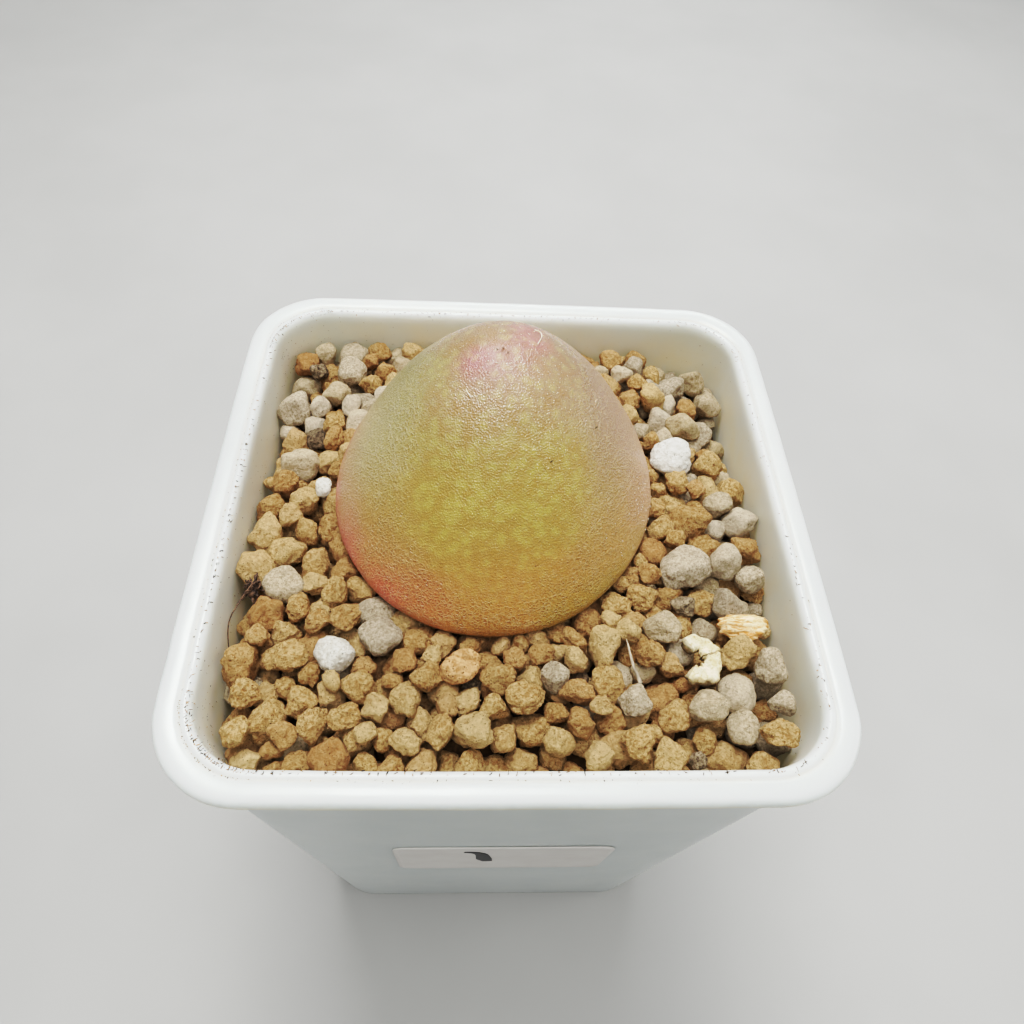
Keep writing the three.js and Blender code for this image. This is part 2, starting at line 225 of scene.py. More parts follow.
def tube(path, radii, sides=8):
    """A closed tapering tube along a list of points."""
    path = np.asarray(path, float)
    ahead = np.gradient(path, axis=0)
    ahead /= np.linalg.norm(ahead, axis=1)[:, None]
    helper = np.array([0.31, 0.17, 0.93])
    side = np.cross(ahead, helper)
    side /= np.linalg.norm(side, axis=1)[:, None]
    up = np.cross(side, ahead)
    angle = turns(sides)
    circle = side[:, None] * np.cos(angle)[None, :, None] + up[:, None] * np.sin(angle)[None, :, None]
    rings = path[:, None] + circle * np.asarray(radii)[:, None, None]
    return loft(path[0] - ahead[0] * radii[0] * 0.5, rings, path[-1] + ahead[-1] * radii[-1] * 0.5)


def curve_through(points, count):
    """Evenly spaced points on a smooth curve through a few given points."""
    points = np.asarray(points, float)
    padded = np.concatenate([[2 * points[0] - points[1]], points, [2 * points[-1] - points[-2]]])
    spans = len(points) - 1
    result = []
    for share in np.linspace(0, spans, count):
        span = min(int(share), spans - 1)
        t = share - span
        a, b, c, d = padded[span: span + 4]
        result.append(0.5 * (2 * b + (c - a) * t + (2 * a - 5 * b + 4 * c - d) * t ** 2
                             + (3 * b - a - 3 * c + d) * t ** 3))
    return np.array(result)


def joined(parts):
    """Several point and face lists as one."""
    points, faces, offset = [], [], 0
    for part_points, part_faces in parts:
        points.append(part_points)
        faces.append(part_faces + offset)
        offset += len(part_points)
    return np.concatenate(points), np.concatenate(faces)


def tinted_piece(name, parts, material, slot_name, replaced=()):
    """Many parts as one piece; each part is its points, its faces and one tint."""
    points, faces = joined([part[:2] for part in parts])
    tints = np.concatenate([np.tile(tint, (len(places), 1)) for places, _, tint in parts])
    make_piece(name, points, faces, material, slot_name, replaced, tints)


def unit_sphere(steps):
    """Even unit directions and 20 * steps * steps triangles between them."""
    ball = bmesh.new()
    bmesh.ops.create_icosphere(ball, subdivisions=1, radius=1.0)
    corners = np.array([vertex.co[:] for vertex in ball.verts])
    sides = [[vertex.index for vertex in face.verts] for face in ball.faces]
    ball.free()
    points, faces, known = [], [], {}

    def index_of(point):
        key = tuple(np.round(point, 5))
        if key not in known:
            known[key] = len(points)
            points.append(point)
        return known[key]

    for a, b, c in (corners[side] for side in sides):
        grid = {(i, j): index_of(a + (b - a) * i / steps + (c - a) * j / steps)
                for i in range(steps + 1) for j in range(steps + 1 - i)}
        for i in range(steps):
            for j in range(steps - i):
                faces.append([grid[i, j], grid[i + 1, j], grid[i, j + 1]])
                if i + j < steps - 1:
                    faces.append([grid[i + 1, j], grid[i + 1, j + 1], grid[i, j + 1]])
    points = np.array(points)
    return points / np.linalg.norm(points, axis=1)[:, None], np.array(faces)


def turn_matrix(rng):
    """A random rotation."""
    return np.array(Quaternion(rng.normal(size=4)).normalized().to_matrix())


# ---------- material building ----------

class Graph:
    """A material's node tree, with short names for the nodes used here."""

    def __init__(self, name):
        self.material = bpy.data.materials.new(name)
        self.material.use_nodes = True
        self.tree = self.material.node_tree
        self.shader = self.tree.nodes["Principled BSDF"]
        self.place = self.tree.nodes.new("ShaderNodeTexCoord").outputs["Object"]

    def feed(self, socket, value):
        """Links an input to a pattern, or sets it; a colour is given as its 8-bit display value."""
        if isinstance(value, bpy.types.NodeSocket):
            self.tree.links.new(value, socket)
        elif socket.type == "RGBA":
            socket.default_value = (*linear(*value), 1.0)
        else:
            socket.default_value = value

    def set(self, **values):
        """Feeds the surface shader's inputs."""
        for name, value in values.items():
            self.feed(self.shader.inputs[name.replace("_", " ")], value)

    def node(self, kind, inputs, **settings):
        """A new node with its settings, and its inputs by name or number."""
        node = self.tree.nodes.new("ShaderNode" + kind)
        for name, value in settings.items():
            setattr(node, name, value)
        for key, value in inputs.items():
            self.feed(node.inputs[key], value)
        return node

    def noise(self, size, detail=4.0, roughness=0.6, distortion=0.0, vector=None):
        """Noise from 0 to 1 whose features are about size millimetres across."""
        inputs = {"Vector": vector or self.place, "Scale": 1 / (size * MM), "Detail": detail,
                  "Roughness": roughness, "Distortion": distortion}
        return self.node("TexNoise", inputs).outputs[0]

    def cells(self, size, feature="F1", vector=None):
        """Distance pattern of cells about size millimetres across."""
        inputs = {"Vector": vector or self.place, "Scale": 1 / (size * MM)}
        return self.node("TexVoronoi", inputs, feature=feature).outputs["Distance"]

    def stretch(self, x, y, z):
        """Object coordinates scaled along each axis."""
        return self.node("VectorMath", {0: self.place, 1: (x, y, z)}, operation="MULTIPLY").outputs[0]

    def warped(self, size, reach):
        """Object coordinates pushed by up to twice reach millimetres, in swirls of the given size."""
        swirl = self.node("TexNoise", {"Vector": self.place, "Scale": 1 / (size * MM)}).outputs["Color"]
        inputs = {0: swirl, 1: (2 * reach * MM,) * 3, 2: self.place}
        return self.node("VectorMath", inputs, operation="MULTIPLY_ADD").outputs[0]

    def tint(self, part=None):
        """The painted colour of the mesh, or one part of it."""
        node = self.node("Attribute", {}, attribute_name="tint")
        if part in (None, "Alpha"):
            return node.outputs[part or "Color"]
        return self.node("SeparateColor", {0: node.outputs["Color"]}).outputs[part]

    def between(self, value, low, high, bottom=0.0, top=1.0):
        """Value mapped from low..high to bottom..top, clamped, with a smooth middle."""
        inputs = {"Value": value, "From Min": low, "From Max": high, "To Min": bottom, "To Max": top}
        return self.node("MapRange", inputs, interpolation_type="SMOOTHSTEP").outputs["Result"]

    def maths(self, operation, first, second):
        return self.node("Math", {0: first, 1: second}, operation=operation).outputs[0]

    def times(self, first, second):
        return self.maths("MULTIPLY", first, second)

    def mix(self, share, first, second):
        """The first colour, moved towards the second by a share."""
        return self.node("Mix", {0: share, 6: first, 7: second}, data_type="RGBA").outputs[2]

    def bump(self, height, depth, normal=None):
        """A normal bent by a height pattern; depth is its full height in millimetres."""
        inputs = {"Height": height, "Strength": 1.0, "Distance": depth * MM}
        if normal is not None:
            inputs["Normal"] = normal
        return self.node("Bump", inputs).outputs["Normal"]


def pot_material():
    """White moulded plastic: soft gloss, faint handling marks, and dirt where the tint says."""
    g = Graph("pot_plastic")
    colour = g.mix(g.between(g.noise(14, 3), 0.3, 0.7), (208, 215, 213), (215, 221, 218))
    # The red part of the tint is how yellow the thin lower edge of the lip is.
    edge = g.times(g.tint("Red"), g.between(g.noise(1.6, 4), 0.25, 0.6, 0.45, 1.0))
    colour = g.mix(edge, colour, (222, 210, 168))
    # The green part is the beige film on the inner wall.
    film = g.times(g.tint("Green"), g.between(g.noise(5, 5), 0.2, 0.8, 0.35, 1.0))
    colour = g.mix(film, colour, (222, 209, 180))
    # The blue part is how likely a speck of soil is.
    speck = g.between(g.noise(0.34, 3, 0.7), 0.66, 0.72)
    patch = g.between(g.noise(1.9, 3, 0.6), 0.42, 0.62)
    dirt = g.times(g.times(speck, patch), g.tint("Blue"))
    colour = g.mix(dirt, colour, (72, 58, 44))
    rough = g.between(g.noise(9, 2), 0.3, 0.7, 0.28, 0.34)
    g.set(Base_Color=colour, Roughness=g.maths("ADD", rough, g.times(film, 0.3)), IOR=1.49)
    g.set(Subsurface_Weight=0.8, Subsurface_Radius=(0.0034, 0.0032, 0.0029), Subsurface_Scale=1.0)
    g.set(Normal=g.bump(g.noise(0.8, 3), 0.008))
    return g.material


def skin_material():
    """Waxy translucent skin: cell mottling in the smooth middle, and round it a net of wrinkles whose
    raised lines are painted pale and whose pits are painted dark, as painted light and shade.
    """
    g = Graph("conophytum_skin")
    paint = g.tint()
    wrinkled = g.tint("Alpha")
    smooth = g.maths("SUBTRACT", 1.0, wrinkled)
    blotch = g.cells(1.1, "F1", g.warped(0.8, 0.42))
    pale_cell = g.times(g.between(blotch, 0.1, 0.6, 1.0, 0.0), smooth)
    colour = g.mix(g.times(pale_cell, 0.4), paint, g.mix(0.5, paint, (210, 202, 112)))
    seam = g.times(g.between(blotch, 0.42, 0.8), smooth)
    colour = g.mix(g.times(seam, 0.34), colour, g.mix(0.7, paint, (150, 104, 50)))
    fleck = g.between(g.noise(0.22, 3, 0.6), 0.53, 0.7, 0.0, 0.3)
    colour = g.mix(fleck, colour, g.mix(0.6, paint, (150, 88, 40)))
    light_fleck = g.between(g.noise(0.26, 3, 0.6, 0.0, g.warped(2.0, 0.3)), 0.55, 0.72, 0.0, 0.36)
    colour = g.mix(light_fleck, colour, g.mix(0.5, paint, (222, 202, 146)))
    # Painted light and shade of the wrinkles: the raised lines of the net are painted pale and the sunken
    # pits between them dark.
    net = g.between(g.cells(0.37, "DISTANCE_TO_EDGE", g.warped(0.5, 0.15)), 0.0, 0.22, 1.0, 0.0)
    broken = g.between(g.noise(0.9, 3, 0.6), 0.36, 0.6, 0.25, 1.0)
    line = g.times(g.times(net, wrinkled), broken)
    colour = g.mix(g.times(line, 0.46), colour, g.mix(0.5, paint, (228, 208, 166)))
    pit = g.times(g.maths("SUBTRACT", 1.0, net), wrinkled)
    colour = g.mix(g.times(pit, 0.28), colour, g.mix(0.5, paint, (104, 64, 34)))
    g.set(Base_Color=colour, IOR=1.5)
    g.set(Subsurface_Weight=0.3, Subsurface_Radius=(0.0026, 0.0018, 0.0006), Subsurface_Scale=1.0)
    gloss = g.between(g.noise(0.4, 3), 0.3, 0.7, 0.14, 0.25)
    g.set(Roughness=g.maths("ADD", gloss, g.times(wrinkled, 0.14)))
    papillae = g.bump(g.cells(0.17), 0.065)
    waves = g.bump(g.noise(0.5, 3), 0.05, papillae)
    g.set(Normal=g.bump(line, 0.075, waves))
    return g.material


# Display colours of a stone: its base, its raised crumbs painted light, its hollows painted as shade and
# its second hue. Then the size of its crumbs, their relief and the size of its pores, in millimetres.
STONES = {
    "akadama": ((222, 178, 116), (246, 216, 164), (146, 98, 56), (192, 140, 98), 0.34, 1.0, 0.26),
    "pumice": ((187, 171, 145), (220, 205, 180), (126, 109, 86), (192, 164, 112), 0.28, 0.45, 0.22),
    "perlite": ((230, 227, 214), (242, 240, 230), (186, 178, 160), (220, 212, 192), 0.4, 0.4, 0.24),
    "lava": ((86, 70, 56), (184, 166, 138), (38, 30, 22), (108, 82, 60), 0.4, 0.4, 0.28),
    # The core's dark browns are painted shade, seen in the gaps between the grains.
    "shaded_bed_core": ((70, 52, 32), (96, 72, 44), (38, 27, 17), (90, 66, 42), 0.9, 0.4, 0.5),
    "creased_clay": ((190, 146, 98), (222, 184, 138), (132, 92, 60), (160, 110, 74), 0.5, 0.28, 0.3),
}


def stone_material(name):
    """Matte crumbly grain over a colour of its own: raised crumbs are painted light and hollows dark, as
    painted light and shade.

    The tint's red makes a grain light or dark and its green moves it towards a second hue.
    """
    base, light, dark, hue, crumb, relief, pore = STONES[name]
    g = Graph(name + "_stone")
    crumbs = g.noise(crumb, 9, 0.7, 0.3)
    # Painted light and shade: raised crumbs are painted light and hollows dark, from the same noise that
    # bends the normal below.
    colour = g.mix(g.between(crumbs, 0.34, 0.64), dark, light)
    colour = g.mix(0.3, colour, base)
    colour = g.mix(g.between(g.tint("Red"), 0.5, 1.0, 0.0, 0.5), colour, light)
    colour = g.mix(g.between(g.tint("Red"), 0.0, 0.5, 0.38, 0.0), colour, dark)
    colour = g.mix(g.times(g.tint("Green"), 0.5), colour, hue)
    cloud = g.between(g.noise(1.1, 4, 0.6), 0.5, 0.72, 0.0, 0.45)
    colour = g.mix(cloud, colour, dark)
    # Pores are painted near black: painted shade in the pits, which the bump below also sinks.
    mask = g.between(g.noise(0.8, 2), 0.43, 0.55)
    hole = g.times(g.between(g.cells(pore), 0.1, 0.3, 1.0, 0.0), mask)
    colour = g.mix(g.times(hole, 0.86), colour, g.mix(0.55, dark, (25, 22, 18)))
    g.set(Base_Color=colour, Roughness=0.92, Specular_IOR_Level=0.22)
    pitted = g.bump(g.maths("SUBTRACT", 1.0, hole), 0.09)
    g.set(Normal=g.bump(crumbs, relief, pitted))
    return g.material


def husk_material():
    """Dry cream husk, grey-brown where the tint says: on its lower half and in its crack as painted shade,
    and at its torn ends.
    """
    g = Graph("husk_skin")
    colour = g.mix(g.between(g.noise(0.8, 5, 0.65), 0.35, 0.65), (218, 198, 150), (240, 228, 192))
    colour = g.mix(g.between(g.noise(0.35, 5, 0.7), 0.52, 0.66, 0.0, 0.8), colour, (168, 140, 84))
    colour = g.mix(g.tint("Red"), colour, (104, 84, 62))
    g.set(Base_Color=colour, Roughness=0.72, Normal=g.bump(g.noise(0.3, 6, 0.7), 0.2))
    g.set(Subsurface_Weight=0.1, Subsurface_Radius=(0.001, 0.0008, 0.0005), Subsurface_Scale=1.0)
    return g.material


def bark_material():
    """Thin layers, orange and cream in turn."""
    g = Graph("bark_layers")
    bands = g.noise(0.5, 5, 0.65, 0.8, g.stretch(0.35, 1.4, 1.3))
    colour = g.mix(g.between(bands, 0.4, 0.6), (196, 136, 76), (244, 218, 170))
    colour = g.mix(g.between(g.noise(0.6, 5, 0.7), 0.55, 0.72, 0.0, 0.7), colour, (150, 98, 56))
    g.set(Base_Color=colour, Roughness=0.6)
    g.set(Normal=g.bump(bands, 0.16, g.bump(g.noise(0.25, 5, 0.7), 0.05)))
    return g.material


def plain_material(name, patches, spread, dark, light, roughness, grain, depth):
    """Two colours in soft patches over a fine grain; patches and grain are a noise's size and detail."""
    g = Graph(name)
    colour = g.mix(g.between(g.noise(*patches), 0.5 - spread, 0.5 + spread), dark, light)
    g.set(Base_Color=colour, Roughness=roughness, Normal=g.bump(g.noise(*grain), depth))
    return g.material


def moss_material():
    return plain_material("dry_moss", (0.5, 4), 0.15, (44, 32, 26), (104, 82, 64), 0.85, (0.15, 4), 0.03)


def hair_material():
    cream, white = (226, 214, 178), (250, 246, 228)
    return plain_material("pale_hair", (0.3, 3), 0.15, cream, white, 0.4, (0.1, 2), 0.01)


def ink_material():
    return plain_material("pen_ink", (0.7, 4), 0.2, (12, 12, 14), (34, 33, 36), 0.4, (0.2, 3), 0.006)


def fibre_material():
    g = Graph("straw_fibre")
    streak = g.noise(0.4, 4, 0.6, 0.0, g.stretch(1, 0.2, 1))
    colour = g.mix(g.between(streak, 0.35, 0.65), (120, 108, 92), (190, 178, 156))
    g.set(Base_Color=colour, Roughness=0.7)
    g.set(Normal=g.bump(streak, 0.03))
    return g.material


def paper_material():
    """Satin sticker paper with faint fibres."""
    g = Graph("label_paper")
    colour = g.mix(g.between(g.noise(3.2, 5, 0.6), 0.3, 0.7), (224, 220, 215), (230, 227, 222))
    g.set(Base_Color=colour)
    g.set(Roughness=g.between(g.noise(0.8, 4), 0.3, 0.7, 0.42, 0.56))
    waves = g.bump(g.noise(4.5, 2), 0.08)
    g.set(Normal=g.bump(g.noise(0.22, 4), 0.012, waves))
    return g.material


def crumb_and_glint_material():
    """Crumbs of soil, and pale flecks painted as glints of light on the skin; the tint is each one's own
    colour.
    """
    g = Graph("soil_crumbs_and_glints")
    colour = g.mix(g.between(g.noise(0.12, 3), 0.4, 0.7, 0.0, 0.4), g.tint(), (30, 22, 16))
    g.set(Base_Color=colour, Roughness=0.45)
    g.set(Normal=g.bump(g.noise(0.08, 4), 0.02))
    return g.material


def floor_material():
    g = Graph("pale_floor")
    colour = g.mix(g.between(g.noise(60, 3), 0.3, 0.7), (164, 164, 162), (170, 170, 168))
    g.set(Base_Color=colour, Roughness=0.75)
    return g.material


# ---------- pot ----------

def rounded_square(half, corner, bow=0.0, side_steps=22, corner_steps=16):
    """Points around a rounded square whose sides swell outwards by bow at their middles."""
    straight = half - corner
    along = np.linspace(-straight, straight, side_steps, endpoint=False)
    side = np.stack([half + bow * (1 - (along / half) ** 2), along], 1)
    angle = np.linspace(0, math.pi / 2, corner_steps, endpoint=False)
    reach = corner + bow * (1 - (straight / half) ** 2)
    bend = straight + reach * np.stack([np.cos(angle), np.sin(angle)], 1)
    x, y = np.concatenate([side, bend]).T
    return np.concatenate([np.stack(rotated(x, y, turn * math.pi / 2), 1) for turn in range(4)])


def bow_at(z):
    return RIM_BOW * np.maximum(0.0, (z - 20) / (POT_HEIGHT - 20))


def inner_half_at(z):
    return np.interp(z, [FLOOR_THICKNESS, INNER_TOP_Z], [INNER_BASE_HALF, INNER_TOP_HALF])


def wall_half_at(z):
    return np.interp(z, [0.5, POT_HEIGHT - LIP_DEPTH], [BASE_HALF, WALL_TOP_HALF])


# The foot: height, inset from the base's width and corner radius.
FOOT_ROWS = [[0, 2.2, 5.6], [0, 0.55, 6.9], [0.08, 0.25, 7.2], [0.28, 0.06, 7.35], [0.6, 0, 7.4]]
# The rim from under the lip, over the top and down its groove: drop below the top, inset from the outer
# face, corner radius, yellow edge, inside film and chance of specks.
RIM_ROWS = [
    [2.02, 1.3, 7.7, 0.1, 0, 0],
    [1.9, 1.16, 7.75, 0.4, 0, 0],
    [1.88, 0.5, 7.9, 0.8, 0, 0.05],
    [1.93, 0.3, 7.95, 1, 0, 0.1],
    [1.86, 0.2, 8, 1, 0, 0.1],
    [1.72, 0.16, 8, 1, 0, 0.1],
    [1.45, 0.08, 8, 0.9, 0, 0.05],
    [1.1, 0.02, 8.03, 0.5, 0, 0.05],
    [0.66, 0, 8.05, 0.15, 0, 0.05],
    [0.42, 0.04, 8.02, 0, 0, 0.05],
    [0.22, 0.15, 7.95, 0, 0, 0.05],
    [0.09, 0.34, 7.8, 0, 0, 0.05],
    [0.02, 0.62, 7.6, 0, 0, 0.08],
    [0, 0.95, 7.35, 0, 0, 0.1],
    [0.03, 1.3, 7, 0, 0, 0.15],
    [0.08, 1.62, 6.8, 0, 0.02, 0.4],
    [0.16, 1.84, 6.7, 0, 0.15, 0.8],
    [0.28, 1.97, 6.62, 0, 0.35, 1],
    [0.29, 2.06, 6.56, 0, 0.35, 1],
    [0.18, 2.18, 6.5, 0, 0.15, 0.9],
    [0.12, 2.34, 6.4, 0, 0.05, 0.5],
    [0.13, 2.52, 6.3, 0, 0.03, 0.3],
    [0.25, 2.71, 6.2, 0, 0.04, 0.3],
    [0.5, 2.87, 6.1, 0, 0.08, 0.3],
    [0.9, 2.96, 6, 0, 0.15, 0.4],
    [1.5, 3, 5.9, 0, 0.25, 0.55],
]


def pot_profile():
    """Height, half-width, corner radius, yellow edge, inside film and speck chance, foot to floor."""
    lip = POT_HEIGHT - LIP_DEPTH
    rows = [[z, BASE_HALF - inset, corner, 0, 0, 0] for z, inset, corner in FOOT_ROWS]
    for z in np.linspace(3, lip - 2.5, 30):
        rows.append([z, wall_half_at(z), np.interp(z, [0, lip], [7.4, 7.7]), 0, 0, 0])
    rows.append([lip - 0.6, wall_half_at(lip - 0.6), 7.7, 0, 0, 0])
    rows += [[POT_HEIGHT - drop, RIM_HALF - inset, *rest] for drop, inset, *rest in RIM_ROWS]
    for z in np.linspace(INNER_TOP_Z - 0.5, 66, 16):
        rows.append([z, inner_half_at(z), 5.85, 0, np.interp(z, [70, INNER_TOP_Z], [0.8, 0.3]), 0.7])
    for z in np.linspace(62, FLOOR_THICKNESS + 1, 12):
        rows.append([z, inner_half_at(z), 5.7, 0, 0.9, 0.3])
    rows.append([FLOOR_THICKNESS + 0.3, INNER_BASE_HALF - 0.1, 5.4, 0, 0.9, 0.3])
    rows.append([FLOOR_THICKNESS, INNER_BASE_HALF - 0.7, 5, 0, 0.9, 0.3])
    return rows


def build_pot():
    rings, tints = [], [[0, 0, 0]]
    for z, half, corner, yellow, film, speck in pot_profile():
        outline = rounded_square(half, corner, bow_at(z))
        rings.append(at_height(outline, z))
        # The left side of the pot is the dirtier one.
        dirty = 0.45 + 0.55 * smooth_step(-outline[:, 0] - 0.5 * outline[:, 1], -20, 30)
        tints.extend([yellow, film, speck * share] for share in dirty)
    tints.append([0, 0.9, 0.3])
    points, faces = loft([0, 0, 0], np.array(rings), [0, 0, FLOOR_THICKNESS])
    # A moulded wall is never quite flat: long shallow waves, and a slightly uneven lip edge.
    waves = fractal(points, 17.0, 2, 31) * 0.025 * smooth_step(points[:, 2], 0.3, 4)
    lip_zone = smooth_step(points[:, 2], POT_HEIGHT - 3.2, POT_HEIGHT - 1.6)
    uneven = fractal(points, 2.6, 3, 57) * 0.035 * lip_zone
    outward = points * [1, 1, 0]
    outward /= np.maximum(np.linalg.norm(outward, axis=1), 1e-6)[:, None]
    points = points + outward * (waves + uneven)[:, None]
    points[:, 2] = np.maximum(points[:, 2] + uneven * 0.5, 0)
    piece = make_piece("pot_shell", points, faces, pot_material(), "pot", ("pot",), np.array(tints))
    cut_drain_holes(piece)


def cut_drain_holes(piece):
    """Four round holes through the base, cut with one joined cutter."""
    low, high = -2.0, FLOOR_THICKNESS + 2.0
    angle = turns(32)
    circle = DRAIN_RADIUS * np.column_stack([np.cos(angle), np.sin(angle)])
    cutters = []
    for x in (-DRAIN_OFFSET, DRAIN_OFFSET):
        for y in (-DRAIN_OFFSET, DRAIN_OFFSET):
            rings = np.array([at_height(circle + [x, y], z) for z in (low, high)])
            cutters.append(loft([x, y, low], rings, [x, y, high]))
    points, faces = joined(cutters)
    mesh = bpy.data.meshes.new("drain_cutter")
    mesh.from_pydata((points * MM).tolist(), [], faces.tolist())
    cutter = bpy.data.objects.new("drain_cutter", mesh)
    bpy.context.scene.collection.objects.link(cutter)
    cut = piece.modifiers.new("drain_holes", "BOOLEAN")
    cut.operation = "DIFFERENCE"
    cut.object = cutter
    graph = bpy.context.evaluated_depsgraph_get()
    result = bpy.data.meshes.new_from_object(piece.evaluated_get(graph), depsgraph=graph)
    piece.modifiers.clear()
    piece.data = result
    bpy.data.objects.remove(cutter)


# ---------- label ----------

def on_front_wall(places, lift):
    """Flat places, x and z, as points a little in front of the pot's front wall."""
    x, z = places.T
    half = wall_half_at(z)
    y = -(half + bow_at(z) * (1 - (x / half) ** 2))
    return np.column_stack([x, y - lift, z])


def patch_on_wall(outline, lift, thickness, rows):
    """A thin closed patch that follows the wall, filled by shrinking its outline."""
    centre = outline.mean(0)
    layers = [on_front_wall(centre + (outline - centre) * share, lift + thickness)
              for share in np.linspace(0.08, 1.0, rows)]
    layers.append(on_front_wall(outline, lift))
    front_middle = on_front_wall(centre[None], lift + thickness)[0]
    back_middle = on_front_wall(centre[None], lift)[0]
    return loft(front_middle, np.array(layers), back_middle)


def label_outline():
    """The sticker's rounded rectangle, x and z."""
    inner = LABEL_SIZE[[0, 2]] / 2 - LABEL_CORNER
    points = []
    for turn, side in enumerate([(1, 1), (-1, 1), (-1, -1), (1, -1)]):
        for angle in np.linspace(0, math.pi / 2, 9) + turn * math.pi / 2:
            bend = np.array([math.cos(angle), math.sin(angle)])
            points.append(LABEL_CENTRE[[0, 2]] + side * inner + LABEL_CORNER * bend)
    closed = np.array([*points, points[0]])
    return spaced(closed, np.linspace(0, path_lengths(closed)[-1], 120, endpoint=False))


def build_label():
    points, faces = patch_on_wall(label_outline(), 0.05, 0.16, 24)
    points[:, 1] -= np.maximum(fractal(points, 6.0, 2, 83) * 0.03, 0)
    make_piece("label_sticker", points, faces, paper_material(), "label", ("label",))


def build_pen_stroke():
    """One short stroke on the label: it starts thin and level, then swells and turns down."""
    count = 30
    stops = [[-4.1, 5.3], [-3.0, 5.0], [-2.2, 3.9], [-1.9, 2.0], [-1.75, 0.3], [-1.3, -1.6]]
    stroke = curve_through(stops, count) + [0, LABEL_CENTRE[2]]
    width = np.interp(np.linspace(0, 1, count), [0, 0.15, 0.45, 0.8, 1], [0.3, 0.5, 0.75, 0.95, 0.6])
    ahead = np.gradient(stroke, axis=0)
    across = np.column_stack([-ahead[:, 1], ahead[:, 0]])
    across *= (width / np.linalg.norm(across, axis=1))[:, None]
    front = []
    for share in np.linspace(0, 1, 6):
        lift = 0.25 + 0.012 * math.sin(share * math.pi)
        front.append(on_front_wall(stroke + across * (1 - 2 * share), lift))
    back = np.array(front[::-1]) + [0, 0.025, 0]
    rings = np.concatenate([front, back]).transpose(1, 0, 2)
    points, faces = loft(rings[0].mean(0), rings, rings[-1].mean(0))
    make_piece("pen_stroke", points, faces, ink_material(), "label")


# ---------- plant ----------

def plant_profile():
    """Height and radius of the body from root to top, evenly spaced and rounded at the widest line."""
    # Drop below the widest line, and radius.
    lower = [[10.2, 5], [7.2, 7.2], [5, 10], [3.6, 13.2], [2.6, 15.6], [1.8, 16.8], [0.9, 17.5]]
    lower = [PLANT_WIDEST_Z, 0] + np.array(lower) * [-1, 1]
    angle = np.linspace(0, math.pi / 2, 300)
    radius = PLANT_RADIUS * np.maximum(np.cos(angle), 0) ** RADIUS_POWER
    rise = PLANT_HEIGHT * np.sin(angle) ** RISE_POWER
    line = np.concatenate([lower, np.column_stack([PLANT_WIDEST_Z + rise, radius])])
    dense = np.linspace(0, path_lengths(line)[-1], 900)
    line = spaced(line, dense)
    kernel = np.exp(-0.5 * (np.arange(-90, 91) * dense[1] / 0.62) ** 2)
    kernel /= kernel.sum()
    mirrored = np.vstack([2 * line[0] - line[90:0:-1], line, line[-2:-92:-1] * [1, -1]])
    smooth = np.column_stack([np.convolve(column, kernel, "valid") for column in mirrored.T])
    return spaced(smooth, np.linspace(0, path_lengths(smooth)[-1] - 0.12, 205))


def plant_direction(angle):
    """Unit section of the body: slightly longer from front to back."""
    along = PLANT_STRETCH * np.cos(angle - PLANT_TURN)
    across = np.sin(angle - PLANT_TURN) / PLANT_STRETCH
    return np.stack(rotated(along, across, PLANT_TURN), -1)


